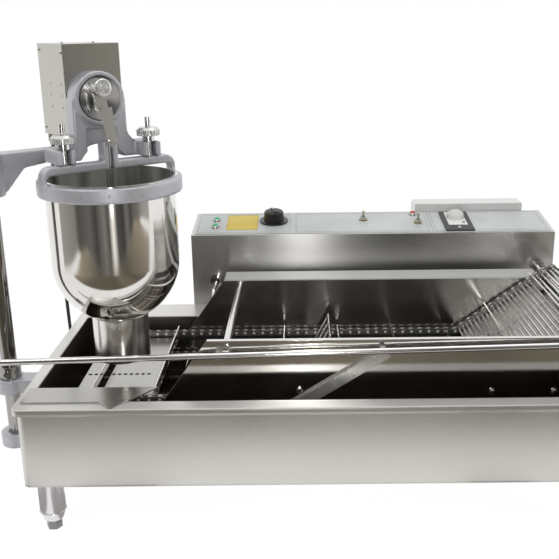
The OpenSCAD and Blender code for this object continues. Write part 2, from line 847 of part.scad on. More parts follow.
module gear_motor() {
    w = 46;
    d = 100;
    color("dimgray") place() translate([drive_x, box_y + sheet, drive_z]) difference() {
        union() {
            translate([-w / 2, 0, -w / 2]) cube([w, d * 0.4, w]);
            translate([0, d * 0.4, 0]) along_y(d * 0.6, w - 4);
        }
        translate([0, -1, 0]) along_y(31, shaft_d + 2 * run_fit);
    }
}

module motor_cover() {
    low = rim_z + 20;
    box_top = rim_z + box_rise + box_slope;
    top = box_top + 15;
    bevel = 12;
    y1 = box_back + cover_depth;
    color("lightgray") place() difference() {
        translate([cover_x1 - cover_len, 0, 0]) rotate([90, 0, 90]) linear_extrude(cover_len)
            polygon([[box_back, low], [y1, low], [y1, top - bevel], [y1 - bevel, top], [box_back, top]]);
        translate([cover_x1 - cover_len + sheet, 0, 0]) rotate([90, 0, 90])
            linear_extrude(cover_len - 2 * sheet)
                polygon([[box_back - 1, low + sheet], [y1 - sheet, low + sheet],
                    [y1 - sheet, top - bevel - sheet], [y1 - bevel - sheet, top - sheet],
                    [box_back + sheet, top - sheet], [box_back + sheet, box_top], [box_back - 1, box_top]]);
    }
}

// Column
module bracket(z) {
    web = 34;
    wall_w = 72;
    wall_t = 9;
    panel_x = tank_x0 + lip_out;
    color("lightslategray") place() translate([column_x, column_y, z]) difference() {
        union() {
            cylinder(h = bracket_t, r = boss_r);
            linear_extrude(bracket_t) polygon([[0, -web / 2], [panel_x - column_x - wall_t, -web / 2],
                [panel_x - column_x, -wall_w / 2], [panel_x - column_x, wall_w / 2],
                [panel_x - column_x - wall_t, web / 2], [0, web / 2]]);
        }
        translate([0, 0, -1]) cylinder(h = bracket_t + 2, d = column_d + 2 * run_fit);
    }
}

module upper_bracket() { bracket(upper_bracket_z); }

module lower_bracket() { bracket(lower_bracket_z); }

seat_depth = 45;

module column() {
    color("gainsboro") place() translate([column_x, column_y, lower_bracket_z])
        cylinder(h = arm_z + seat_depth - lower_bracket_z, d = column_d);
}

module column_collar() {
    color("silver") place() translate([column_x, column_y, upper_bracket_z + bracket_t])
        union() {
            ring(20, column_d + 10, column_d + 2 * run_fit);
            translate([0, -column_d / 2 - 1, 10]) rotate([90, 0, 0]) cylinder(h = 9, d = 7);
        }
}

// Head: x along the arm from the column, y to the back, turned about the column
module head() {
    place() translate([column_x, column_y, 0]) rotate([0, 0, head_turn]) children();
}

module at_hopper() { head() translate([arm_len, -hopper_fwd, 0]) children(); }

leg_in = 24;
leg_out = 42;
lug_w = 26;

module fillet(r) { difference() {
        square(r);
        translate([r, r]) circle(r);
    } }

module yoke_outline() {
    foot_x = (stud_gap + lug_w) / 2;
    blend = 20;
    translate([0, crank_z]) circle(d = housing_d);
    translate([-leg_out, lug_low]) square([2 * leg_out, crank_z - lug_low]);
    for (side = [0, 1]) mirror([side, 0]) translate([leg_out, lug_top]) fillet(blend);
    translate([-foot_x, lug_low]) square([2 * foot_x, lug_top - lug_low]);
}

module yoke() {
    arch = 40;
    translate([0, yoke_front, 0]) difference() {
        slab(yoke_t) yoke_outline();
        translate([-leg_in, -1, lug_low - 1])
            cube([2 * leg_in, yoke_t - 9, crank_z - housing_d / 2 - lug_low - 4]);
        translate([0, -1, lug_low - arch / 2]) along_y(yoke_t + 2, 2 * arch);
    }
    translate([0, housing_front, crank_z]) along_y(yoke_back - housing_front, housing_d);
    for (side = [-1, 1])
        translate([side * stud_gap / 2 - lug_w / 2, -hopper_fwd - lug_w / 2, lug_low])
            cube([lug_w, hopper_fwd + lug_w / 2 + yoke_front + 1, lug_top - lug_low]);
}

module arm_casting() {
    tip = arm_len - leg_in;
    color("lightslategray") head() difference() {
        union() {
            translate([0, 0, arm_z]) cylinder(h = arm_h, r = boss_r);
            translate([0, -arm_w / 2, 0]) slab(arm_w)
                polygon([[0, arm_z + 6], [0, arm_z + arm_h], [tip, arm_z + arm_h], [tip, lug_low],
                    [boss_r + 28, lug_low - 10], [boss_r, arm_z + 6]]);
            translate([tip - 30, yoke_back - 1, lug_low])
                cube([30, arm_w / 2 - yoke_back, arm_z + arm_h - lug_low]);
            translate([arm_len, 0, 0]) yoke();
        }
        translate([0, 0, arm_z - 1]) cylinder(h = seat_depth + 1 + pass_gap, d = column_d + 2 * run_fit);
        translate([arm_len, housing_front - 1, crank_z]) along_y(disc_t + 1 + pass_gap, disc_d + 2);
        translate([arm_len, housing_front, crank_z]) along_y(housing_d, shaft_d + 2 * run_fit);
        for (side = [-1, 1])
            translate([arm_len + (side * stud_gap - lug_slot) / 2, -hopper_fwd - lug_w, lug_low - 1])
                cube([lug_slot, lug_w + lug_slot / 2, lug_top - lug_low + 2]);
    }
}

module motor_box() {
    color("silver") head() translate([motor_x, yoke_back, motor_low]) union() {
        difference() {
            cube([motor_w, motor_depth, motor_h]);
            translate([sheet, sheet, sheet])
                cube([motor_w - 2 * sheet, motor_depth - 2 * sheet, motor_h - 2 * sheet]);
            translate([arm_len - motor_x, -1, crank_z - motor_low]) along_y(sheet + 2, shaft_d + 4);
        }
        translate([gland_x, gland_y, -gland_h]) cylinder(h = gland_h, d = 2 * lead_d);
    }
}

module head_motor() {
    w = 60;
    d = 74;
    color("dimgray") head() translate([arm_len, yoke_back + sheet, crank_z]) difference() {
        union() {
            translate([-w / 2, 0, -w / 2]) cube([w, d * 0.45, w]);
            translate([0, d * 0.45, 0]) along_y(d * 0.55, w - 6);
        }
        translate([0, -1, 0]) along_y(17, shaft_d + 2 * run_fit);
    }
}

module hopper_ring() {
    post_w = 6;
    shoulder = 16;
    ring_low = hopper_top - ring_h;
    block_top = bar_top + 28;
    color("lightslategray") at_hopper() difference() {
        union() {
            translate([0, 0, ring_low]) ring(ring_h, 2 * ring_out, 2 * ring_in);
            translate([0, -bar_w / 2, 0]) slab(bar_w) difference() {
                translate([0, bar_top - ring_out]) rounded(2 * ring_out, 2 * ring_out, shoulder);
                translate([0, bar_low - ring_out])
                    rounded(2 * (ring_out - post_w), 2 * ring_out, shoulder / 2);
                translate([-ring_out - 1, ring_low - 2 * ring_out]) square([2 * ring_out + 2, 2 * ring_out]);
            }
            translate([-guide_w / 2, -guide_w / 2, bar_low]) cube([guide_w, guide_w, block_top - bar_low]);
        }
        translate([0, 0, bar_low - 1])
            cylinder(h = block_top - bar_low + 2, d = plunger_d + 2 * run_fit);
        translate([-plunger_d / 2 + 1, -guide_w, bar_low - 1])
            cube([plunger_d - 2, guide_w, block_top - bar_low + 2]);
    }
}

module ring_studs() {
    color("silver") at_hopper() for (side = [-1, 1]) translate([side * stud_gap / 2, 0, 0]) union() {
        translate([0, 0, bar_top]) cylinder(h = nut_z + nut_h + 16 - bar_top, d = stud_d);
        translate([0, 0, lug_top]) cylinder(h = collar_h, d = stud_d + 11);
    }
}

module thumb_nut(side) {
    color("silver") at_hopper() translate([side * stud_gap / 2, 0, nut_z + pass_gap]) difference() {
        union() {
            cylinder(h = nut_h - 4, d = nut_d);
            translate([0, 0, nut_h - 4]) cylinder(h = 4, d1 = nut_d, d2 = nut_d - 8);
        }
        translate([0, 0, -1]) cylinder(h = nut_h + 2, d = stud_d + 2 * run_fit);
        for (k = [0 : 29]) rotate(k * 12) translate([nut_d / 2 + 0.5, 0, -1]) cylinder(h = nut_h, d = 2.2);
    }
}

module thumb_nut_left() { thumb_nut(-1); }

module thumb_nut_right() { thumb_nut(1); }

module hopper() {
    lip = 4;
    inner_r = hopper_r - hopper_t;
    color("gainsboro") at_hopper() rotate_extrude() difference() {
        union() {
            translate([0, hopper_mid]) square([hopper_r, hopper_straight + hopper_t]);
            translate([0, hopper_top]) square([hopper_r + lip, hopper_t]);
            intersection() {
                translate([0, hopper_mid]) circle(hopper_r);
                translate([0, outlet_top]) square([hopper_r, hopper_r]);
            }
        }
        translate([0, hopper_mid]) square([inner_r, hopper_straight + hopper_t + 1]);
        intersection() {
            translate([0, hopper_mid]) circle(inner_r);
            translate([0, outlet_top - 1]) square([hopper_r, hopper_r + 1]);
        }
        translate([-hopper_d, outlet_top - hopper_d]) square([hopper_d, 4 * hopper_d]);
    }
}

module outlet_tube() {
    color("gainsboro") at_hopper() translate([0, 0, outlet_low])
        ring(outlet_top - outlet_low, 2 * outlet_r, 2 * (outlet_r - outlet_t));
}

// Crank drive, shown with its pin turned from the top
head_d = 26;
hub_t = 8;
link_t2 = 8;
bolt_r = 7;

module crank_disc() {
    pin_y = housing_front - pin_len;
    color("silver") head() translate([arm_len, 0, crank_z]) union() {
        translate([0, housing_front, 0]) along_y(disc_t, disc_d);
        translate([0, housing_front + 1, 0]) along_y(yoke_back + sheet + 14 - housing_front, shaft_d);
        translate([pin_x, 0, pin_z]) {
            translate([0, housing_front - hub_t, 0]) along_y(hub_t + 1, head_d - 3);
            translate([0, pin_y, 0]) along_y(pin_len, pin_d);
            translate([0, pin_y, 0]) along_y(pin_len - hub_t - link_t2 - 2 * pass_gap, head_d);
        }
    }
}

module crank_link() {
    bar_len = 33;
    bar_wide = 17;
    strap_t = 4;
    y1 = housing_front - hub_t - pass_gap;
    strap_y = -hopper_fwd - guide_w / 2 - 2 - strap_t;
    color("lightgray") head() translate([arm_len + pin_x, 0, crank_z + pin_z]) rotate([0, -link_lean, 0])
        union() {
            translate([0, y1 - link_t2, 0]) slab(link_t2) difference() {
                union() {
                    circle(r = 11);
                    translate([-bar_wide / 2, -bar_len]) square([bar_wide, bar_len]);
                }
                circle(d = pin_d + 2 * run_fit);
            }
            translate([-bar_wide / 2, strap_y, -bar_len]) cube([bar_wide, y1 - strap_y, strap_t]);
            translate([0, strap_y, 0]) slab(strap_t) {
                translate([-bar_wide / 2, -link_len]) square([bar_wide, link_len - bar_len + strap_t]);
                translate([0, -link_len]) circle(d = bar_wide);
            }
            translate([0, strap_y - 3, -link_len]) along_y(4, 2 * bolt_r - 4);
        }
}

module plunger() {
    piston_h = 18;
    color("gainsboro") at_hopper() union() {
        translate([0, 0, piston_low]) cylinder(h = piston_h, r = outlet_r - outlet_t - 0.5);
        translate([0, 0, piston_low + 1]) cylinder(h = eye_z + bolt_r - piston_low - 1, d = plunger_d);
    }
}

// Lead of the head motor: rings square to the route, joined by triangles
function lead_dir(i) = let (last = len(lead_route) - 1,
    d = lead_route[min(i + 1, last)] - lead_route[max(i - 1, 0)]) d / norm(d);
function lead_ring(i) = let (
    t = i == 0 ? [0, 0, -1] : i == len(lead_route) - 1 ? [1, 0, 0] : lead_dir(i),
    u0 = cross(t, [0.6, -0.8, 0.1]), u = u0 / norm(u0), v = cross(t, u))
    [for (k = [0 : lead_sides - 1]) lead_route[i]
        + lead_d / 2 * (cos(k * 360 / lead_sides) * u + sin(k * 360 / lead_sides) * v)];

module head_lead() {
    n = len(lead_route);
    points = [for (i = [0 : n - 1]) each lead_ring(i)];
    sides = [for (i = [0 : n - 2], k = [0 : lead_sides - 1])
        let (a = i * lead_sides + k, b = i * lead_sides + (k + 1) % lead_sides)
        each [[a, b, b + lead_sides], [a, b + lead_sides, a + lead_sides]]];
    caps = [[for (k = [lead_sides - 1 : -1 : 0]) k],
        [for (k = [0 : lead_sides - 1]) (n - 1) * lead_sides + k]];
    color("black") place() polyhedron(points, concat(sides, caps));
}

module lead_gland() {
    end = lead_route[len(lead_route) - 1];
    color("black") place() translate(end) rotate([0, 90, 0])
        cylinder(h = box_x0 - end[0], d1 = lead_d + 4, d2 = lead_d + 10);
}

tank_casing();
oil_pan();
deck_plate();
landing_plate();
legs();
foot_front_left();
foot_front_right();
foot_rear_left();
foot_rear_right();
front_side_plate();
back_side_plate();
tie_bars();
lift_bar();
lift_bar_clips();
brace_bar();
front_chain();
back_chain();
flights();
incline_rods();
incline_tray();
chain_rails();
shaft_bushes();
drive_shaft();
idler_sprockets();
flipper();
heating_element();
thermostat_probe();
probe_grommet();
control_box();
panel_overlay();
panel_hardware();
green_lamps();
red_lamp();
control_spindles();
thermostat_knob();
toggle_left();
toggle_right();
speed_plate();
speed_knob();
gear_motor();
motor_cover();
upper_bracket();
lower_bracket();
column();
column_collar();
arm_casting();
motor_box();
head_motor();
hopper_ring();
ring_studs();
hopper();
outlet_tube();
thumb_nut_left();
thumb_nut_right();
crank_disc();
crank_link();
plunger();
head_lead();
lead_gland();
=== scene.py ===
import bmesh
import bpy
import json
import math
from mathutils import Matrix, Vector

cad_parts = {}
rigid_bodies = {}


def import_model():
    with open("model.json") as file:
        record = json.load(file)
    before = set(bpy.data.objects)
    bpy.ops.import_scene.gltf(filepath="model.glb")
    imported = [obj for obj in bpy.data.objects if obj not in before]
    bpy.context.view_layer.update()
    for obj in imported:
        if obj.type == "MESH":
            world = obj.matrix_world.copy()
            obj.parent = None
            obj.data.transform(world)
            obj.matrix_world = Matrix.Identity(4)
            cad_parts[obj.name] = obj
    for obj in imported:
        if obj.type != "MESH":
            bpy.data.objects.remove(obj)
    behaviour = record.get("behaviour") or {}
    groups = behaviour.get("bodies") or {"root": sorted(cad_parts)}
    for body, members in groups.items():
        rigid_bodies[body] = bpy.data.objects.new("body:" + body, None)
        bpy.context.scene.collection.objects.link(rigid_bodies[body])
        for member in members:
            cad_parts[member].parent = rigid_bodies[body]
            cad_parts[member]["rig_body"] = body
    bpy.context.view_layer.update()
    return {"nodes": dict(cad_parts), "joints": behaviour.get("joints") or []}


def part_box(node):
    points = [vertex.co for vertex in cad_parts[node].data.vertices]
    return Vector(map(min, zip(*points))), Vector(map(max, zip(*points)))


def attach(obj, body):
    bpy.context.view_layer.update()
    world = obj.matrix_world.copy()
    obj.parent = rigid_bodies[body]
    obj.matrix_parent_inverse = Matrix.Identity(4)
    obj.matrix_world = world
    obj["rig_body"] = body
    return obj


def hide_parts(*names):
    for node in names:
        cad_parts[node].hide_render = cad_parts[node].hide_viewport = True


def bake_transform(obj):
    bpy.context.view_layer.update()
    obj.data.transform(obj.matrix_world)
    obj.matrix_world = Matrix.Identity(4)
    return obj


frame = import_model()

nodes = frame["nodes"]
hinge = {joint["name"]: joint for joint in frame["joints"]}
MM = 0.001
casing_low, casing_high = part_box("tank_casing")
SHIFT = Vector(((casing_low[0] + casing_high[0]) / 2, casing_low[1], 0.0)) / MM


def at(x, y, z):
    """A point of the drawing, in millimetres from tank middle, front rim and floor, as metres in the frame."""
    return (Vector((x, y, z)) + SHIFT) * MM


# Camera of the photograph
LENS_PX, PICTURE_PX, SIDE_SHIFT_PX = 850.0, 559.0, -23.5
SENSOR_MM = 36.0
LOOK_DOWN, LEAN = 17.0, -0.6
CAMERA_SPOT = (-13, -1082, 725)
camera = bpy.data.objects.new("camera", bpy.data.cameras.new("camera"))
bpy.context.scene.collection.objects.link(camera)
camera.data.sensor_width = SENSOR_MM
camera.data.lens = SENSOR_MM * LENS_PX / PICTURE_PX
camera.data.shift_x = SIDE_SHIFT_PX / PICTURE_PX
tilt = Matrix.Rotation(math.radians(90.0 - LOOK_DOWN), 4, "X")
roll = Matrix.Rotation(math.radians(LEAN), 4, "Z")
camera.matrix_world = Matrix.Translation(at(*CAMERA_SPOT)) @ tilt @ roll
bpy.context.scene.camera = camera
bpy.context.scene.view_settings.view_transform = "Standard"


# Shader expressions
class Socket:
    """An output of a shader node; arithmetic on it adds Math nodes."""

    def __init__(self, finish, link):
        self.finish = finish
        self.link = link

    def math(self, operation, first, second=0.0):
        return self.finish.node("Math", {"operation": operation}, {0: first, 1: second})

    def __add__(self, other):
        return self.math("ADD", self, other)

    def __radd__(self, other):
        return self.math("ADD", other, self)

    def __sub__(self, other):
        return self.math("SUBTRACT", self, other)

    def __rsub__(self, other):
        return self.math("SUBTRACT", other, self)

    def __mul__(self, other):
        return self.math("MULTIPLY", self, other)

    def __rmul__(self, other):
        return self.math("MULTIPLY", other, self)

    def __pow__(self, other):
        return self.math("POWER", self, other)

    def sine(self):
        return self.math("SINE", self)

    def above(self, edge):
        return self.math("GREATER_THAN", self, edge)


class Finish:
    """One procedural material: node() makes any node, surface() closes the tree."""

    def __init__(self, name):
        self.material = bpy.data.materials.new(name)
        self.material.use_nodes = True
        self.tree = self.material.node_tree
        self.tree.nodes.clear()
        self.place = self.node("TexCoord", out="Object")

    def node(self, kind, settings={}, sockets={}, out=0):
        made = self.tree.nodes.new("ShaderNode" + kind)
        for key, value in settings.items():
            if key == "stops":
                for stop in value[2:]:
                    made.color_ramp.elements.new(stop[0])
                for element, stop in zip(made.color_ramp.elements, value):
                    element.position = stop[0]
                    element.color = stop[1]
            else:
                setattr(made, key, value)
        for key, value in sockets.items():
            if isinstance(value, Socket):
                self.tree.links.new(value.link, made.inputs[key])
            else:
                made.inputs[key].default_value = value
        return Socket(self, made.outputs[out]) if made.outputs else None

    def noise(self, scale, stretch, detail):
        spot = self.node("Mapping", {}, {"Vector": self.place, "Scale": stretch})
        return self.node("TexNoise", {}, {"Vector": spot, "Scale": scale, "Detail": detail})

    def ramp(self, value, stops):
        grey = [(position, (level, level, level, 1)) for position, level in stops]
        return self.node("ValToRGB", {"stops": grey}, {"Fac": value})

    def blend(self, share, first, second):
        return self.node("Mix", {"data_type": "RGBA"}, {0: share, 6: first, 7: second}, out=2)

    def bump(self, height, depth, normal):
        return self.node("Bump", {}, {"Height": height, "Distance": depth, "Strength": 1.0, "Normal": normal})

    def soft_edge(self, radius):
        return self.node("Bevel", {"samples": 4}, {"Radius": radius})

    def axis_distance(self, centre, axis):
        """Distance from a line, for turned rings."""
        apart = self.node("VectorMath", {"operation": "SUBTRACT"}, {0: self.place, 1: centre})
        across = self.node("VectorMath", {"operation": "CROSS_PRODUCT"}, {0: apart, 1: axis})
        return self.node("VectorMath", {"operation": "LENGTH"}, {0: across}, out="Value")

    def surface(self, colour, rough, metal, normal, **fixed):
        sockets = {"Base Color": colour, "Roughness": rough, "Metallic": metal, "Normal": normal}
        sockets.update({key.replace("_", " ").title(): value for key, value in fixed.items()})
        shader = self.node("BsdfPrincipled", {}, sockets)
        self.node("OutputMaterial", {}, {"Surface": shader})
        return self.material


def shade(colour, factor):
    return tuple(min(1.0, part * factor) for part in colour[:3]) + (1,)


def brushed(name, colour, grain, rough, depth, edge, spread, metal=1.0, uneven=1.0, **fixed):
    """Sheet metal with a brushed grain along one axis and faint handling marks."""
    finish = Finish(name)
    fine = finish.noise(60.0, grain, 4.0)
    long = finish.noise(7.0, grain, 2.0)
    smear = finish.noise(5.0, (1, 1, 1), 3.0)
    streak = finish.ramp(fine, ((0.30, 0.0), (0.70, 1.0)))
    tone = finish.blend(streak, shade(colour, 1 - spread), shade(colour, 1 + spread))
    tone = finish.blend(finish.ramp(long, ((0.35, 0.0), (0.65, 0.45))), tone, shade(colour, 1 - 0.6 * spread))
    gloss = rough + (fine - 0.5) * (0.16 * uneven) + (smear - 0.5) * (0.14 * uneven)
    return finish.surface(tone, gloss, metal, finish.bump(fine, depth, finish.soft_edge(edge)), **fixed)


def folded_sheet(name, colour, painted_lit_fold_colour, rim_height, rough, edge, fold_matte_share, dull):
    """Brushed sheet whose fold on top is painted paler than the sides, as painted light where it faces up, and is made
    duller and less metallic, or more polished.
    """
    finish = Finish(name)
    fine = finish.noise(60.0, (1, 60, 60), 4.0)
    smear = finish.noise(5.0, (1, 1, 1), 3.0)
    height = finish.node("SeparateXYZ", {}, {0: finish.place}, out=2)
    rim = height.above(rim_height)
    grain = finish.ramp(fine, ((0.30, 0.0), (0.70, 1.0)))
    side = finish.blend(grain, shade(colour, 0.955), shade(colour, 1.045))
    # painted highlight: the fold's paler colour stands in for the light its upward face catches
    top = finish.blend(grain, shade(painted_lit_fold_colour, 0.96), shade(painted_lit_fold_colour, 1.04))
    gloss = rough + (fine - 0.5) * 0.16 + (smear - 0.5) * 0.12 + rim * dull
    normal = finish.bump(fine, 0.000012, finish.soft_edge(edge))
    return finish.surface(finish.blend(rim, side, top), gloss, 1.0 - rim * fold_matte_share, normal)


def mirror(name, colour, rough, grain=(30, 30, 1), edge=0.0006, haze=0.10, metal=1.0):
    """Polished or plated metal with faint polishing lines and a cloudy film here and there."""
    finish = Finish(name)
    lines = finish.noise(40.0, grain, 2.0)
    cloud = finish.noise(9.0, (1, 1, 1), 4.0)
    film = finish.ramp(cloud, ((0.42, 0.0), (0.72, 1.0)))
    tone = finish.blend(film, shade(colour, 1.03), shade(colour, 0.94))
    gloss = rough + film * haze + (lines - 0.5) * 0.03
    return finish.surface(tone, gloss, metal, finish.bump(lines, 0.000006, finish.soft_edge(edge)))


def casting(name, colour, rough):
    """Satin sand casting: fine grain, soft mottling and a few pits."""
    finish = Finish(name)
    grain = finish.noise(420.0, (1, 1, 1), 5.0)
    mottle = finish.noise(22.0, (1, 1, 1), 4.0)
    pits = finish.ramp(finish.noise(150.0, (1, 1, 1), 1.0), ((0.24, 0.0), (0.30, 1.0)))
    tone = finish.blend(finish.ramp(mottle, ((0.30, 0.0), (0.70, 1.0))), shade(colour, 0.93), shade(colour, 1.06))
    tone = finish.blend(pits, shade(colour, 0.72), tone)
    gloss = rough + (mottle - 0.5) * 0.18 + (grain - 0.5) * 0.10
    normal = finish.bump(grain, 0.00012, finish.bump(pits, 0.00015, finish.soft_edge(0.002)))
    return finish.surface(tone, gloss, 0.6, normal)


TOOL_RINGS = 2600.0


def turned(name, colour, centre, axis, rough, painted_fan_depth=0.0):
    """Lathe-turned metal, its tool rings round the given line; the last argument deepens a fan of painted highlights
    and painted shade on a flat face.
    """
    finish = Finish(name)
    rings = (finish.axis_distance(centre, axis) * TOOL_RINGS).sine()
    coarse = finish.noise(30.0, (1, 1, 1), 3.0)
    apart = finish.node("VectorMath", {"operation": "SUBTRACT"}, {0: finish.place, 1: centre})
    side = Vector(axis).cross(Vector((0, 0, 1)))
    side = side.normalized() if side.length > 0.1 else Vector((1, 0, 0))
    across, upward = (
        finish.node("VectorMath", {"operation": "DOT_PRODUCT"}, {0: apart, 1: line}, out="Value")
        for line in (side, Vector(axis).cross(side)))
    # painted highlight: bright and dark sectors by angle round the axis stand in for the light a turned face catches
    fan = (across.math("ARCTAN2", across, upward) * 3.0 + 0.8).sine()
    share = 0.5 + (coarse - 0.5) * 0.8 + fan * painted_fan_depth
    dark, light = shade(colour, 0.94 - 0.9 * painted_fan_depth), shade(colour, 1.05 + painted_fan_depth)
    tone = finish.blend(finish.ramp(share, ((0.1, 0.0), (0.9, 1.0))), dark, light)
    gloss = rough + rings * 0.05 + (coarse - 0.5) * 0.10
    return finish.surface(tone, gloss, 0.8, finish.bump(rings, 0.00002, finish.soft_edge(0.0006)))


def plastic(name, colour, rough, grain=260.0, depth=0.00006, **fixed):
    """Moulded plastic, paint or rubber with a fine skin and slight unevenness."""
    finish = Finish(name)
    skin = finish.noise(grain, (1, 1, 1), 3.0)
    patch = finish.noise(14.0, (1, 1, 1), 3.0)
    tone = finish.blend(finish.ramp(patch, ((0.3, 0.0), (0.7, 1.0))), shade(colour, 0.90), shade(colour, 1.08))
    gloss = rough + (patch - 0.5) * 0.12 + (skin - 0.5) * 0.08
    return finish.surface(tone, gloss, 0.0, finish.bump(skin, depth, finish.soft_edge(0.0006)), **fixed)


def hopper_sheet(name, centre, inner_radius):
    """Polished outside; duller inside, with dark and pale upright streaks: the inside lies nearer the axis and bowl
    centre.
    """
    finish = Finish(name)
    apart = finish.node("VectorMath", {"operation": "SUBTRACT"}, {0: finish.place, 1: centre})
    x, y, z = (finish.node("SeparateXYZ", {}, {0: apart}, out=part) for part in range(3))
    below = z.math("MINIMUM", z, 0.0)
    reach = (x * x + y * y + below * below) ** 0.5
    inside = 1.0 - reach.above(inner_radius)
    lines = finish.noise(40.0, (30, 30, 1), 2.0)
    cloud = finish.noise(9.0, (1, 1, 1), 4.0)
    haze = finish.ramp(cloud, ((0.42, 0.0), (0.72, 1.0)))
    outer = finish.blend(haze, (0.76, 0.745, 0.715, 1), (0.70, 0.685, 0.655, 1))
    streaks = finish.ramp(finish.noise(3.0, (9, 9, 0.4), 2.0), ((0.38, 0.0), (0.62, 1.0)))
    inner = finish.blend(streaks, (0.16, 0.155, 0.13, 1), (0.86, 0.85, 0.80, 1))
    gloss = 0.05 + haze * 0.08 + (lines - 0.5) * 0.03 + inside * 0.14
    normal = finish.bump(lines, 0.000006, finish.soft_edge(0.0006))
    return finish.surface(finish.blend(inside, outer, inner), gloss, 1.0 - inside * 0.5, normal)


def axis_of(joint):
    return tuple(hinge[joint]["pos_m"]), tuple(hinge[joint]["axis"])


casing_steel = folded_sheet("casing brushed steel", (0.66, 0.645, 0.61), (0.76, 0.745, 0.72),
                            casing_high[2] - 0.0012, 0.30, 0.0045, 0.32, 0.10)
box_steel = brushed("box brushed steel", (0.63, 0.62, 0.60), (1, 80, 80), 0.26, 0.0000015, 0.0012, 0.04, uneven=0.35,
                    anisotropic=0.85, anisotropic_rotation=0.25)
cover_steel = brushed("cover brushed steel", (0.80, 0.79, 0.78), (1, 80, 80), 0.38, 0.000004, 0.0012, 0.04, 0.5)
link_steel = brushed("satin link", (0.66, 0.65, 0.62), (60, 60, 1), 0.20, 0.000006, 0.0006, 0.06, 0.9)
dimple_steel = brushed("pressed dimple", (0.66, 0.65, 0.60), (9, 9, 9), 0.45, 0.000006, 0.0006, 0.05, 0.5)
head_steel = brushed("motor box brushed steel", (0.50, 0.49, 0.44), (60, 60, 1), 0.22, 0.000012, 0.0012, 0.06)
plate_steel = brushed("polished side plate", (0.76, 0.745, 0.72), (1, 30, 30), 0.08, 0.000015, 0.0008, 0.05)
SHELF_TOP = 280.0
shelf_steel = folded_sheet("polished back plate", (0.52, 0.505, 0.48), (0.60, 0.60, 0.585),
                           at(0, 0, SHELF_TOP - 2.5)[2], 0.19, 0.0008, 0.92, 0.20)
strap_steel = mirror("polished strap", (0.84, 0.825, 0.80), 0.10, (1, 1, 1), 0.0006, 0.30, 0.8)
# The tray's tone is lowered in part as painted shade, so the gaps between the belt rods show dark
tray_steel = brushed("satin tray", (0.60, 0.58, 0.56), (1, 60, 60), 0.36, 0.000012, 0.0006, 0.05, 0.5)
deck_steel = brushed("deck sheet", (0.47, 0.46, 0.44), (1, 35, 35), 0.22, 0.00002, 0.0008, 0.06)
pan_steel = brushed("heat-dulled pan", (0.20, 0.175, 0.15), (1, 20, 20), 0.34, 0.00003, 0.001, 0.22)
hopper_steel = mirror("polished outlet", (0.74, 0.725, 0.695), 0.20)
BOWL_CENTRE, BOWL_INSIDE = (-299.16, 175.19, 377), 0.095
hopper_coat = hopper_sheet("mirror hopper", at(*BOWL_CENTRE), BOWL_INSIDE)
chrome = mirror("bright chrome", (0.74, 0.73, 0.72), 0.07, (20, 20, 1), 0.0006, 0.06)
column_chrome = mirror("column chrome", (0.36, 0.35, 0.34), 0.09, (20, 20, 1), 0.0006, 0.08)
rod_steel = mirror("drawn rod", (0.78, 0.77, 0.755), 0.15, (1, 40, 40), 0.0005, 0.08)
chain_steel = brushed("chain steel", (0.34, 0.33, 0.31), (1, 12, 12), 0.26, 0.00002, 0.0004, 0.14, 0.8)
# Rollers and rivet heads are near white and less metallic than the plates: painted highlights for the glints along the
# chain
painted_highlight_roller_steel = brushed("chain rollers", (0.96, 0.95, 0.93), (1, 12, 12), 0.22, 0.00002, 0.0004, 0.04, 0.35)
cast_alloy = casting("satin casting", (0.53, 0.53, 0.565), 0.42)
nut_alloy = turned("turned nut", (0.66, 0.66, 0.65), *axis_of("left_nut_turn"), rough=0.26)
crank_alloy = turned("turned crank", (0.42, 0.415, 0.41), *axis_of("crank_turn"), rough=0.24, painted_fan_depth=0.55)
pin_alloy = turned("turned pin head", (0.84, 0.83, 0.83), *axis_of("link_turn"), rough=0.18, painted_fan_depth=0.20)
leg_steel = mirror("leg tube", (0.76, 0.745, 0.75), 0.24, (30, 30, 1), 0.0008, 0.08, 0.95)
foot_steel = brushed("foot screw", (0.27, 0.26, 0.27), (30, 30, 1), 0.36, 0.00001, 0.0006, 0.08, 0.5)
sheath = brushed("heater sheath", (0.12, 0.10, 0.09), (1, 6, 6), 0.45, 0.00003, 0.0006, 0.25)
rail_black = plastic("rail plastic", (0.022, 0.022, 0.022), 0.45)
knob_black = plastic("knob plastic", (0.010, 0.010, 0.011), 0.32)
film = plastic("panel film", (0.60, 0.63, 0.62), 0.38, 500.0, 0.00002)
lens_green = plastic("green lens", (0.04, 0.56, 0.22), 0.14, 200.0, 0.00002)
lens_red = plastic("red lens", (0.55, 0.04, 0.03), 0.14, 200.0, 0.00002)
dome_white = plastic("white dome", (0.80, 0.79, 0.75), 0.22, 300.0, 0.00002, transmission_weight=0.25)
motor_paint = plastic("motor paint", (0.12, 0.13, 0.14), 0.45, 180.0)
bezel_grey = mirror("lamp bezel", (0.50, 0.50, 0.49), 0.16, (10, 10, 10), 0.0004, 0.06)
switch_metal = mirror("switch lever", (0.48, 0.43, 0.31), 0.18, (10, 10, 10), 0.0003, 0.08)
lead_rubber = plastic("lead rubber", (0.015, 0.015, 0.015), 0.5, 300.0)

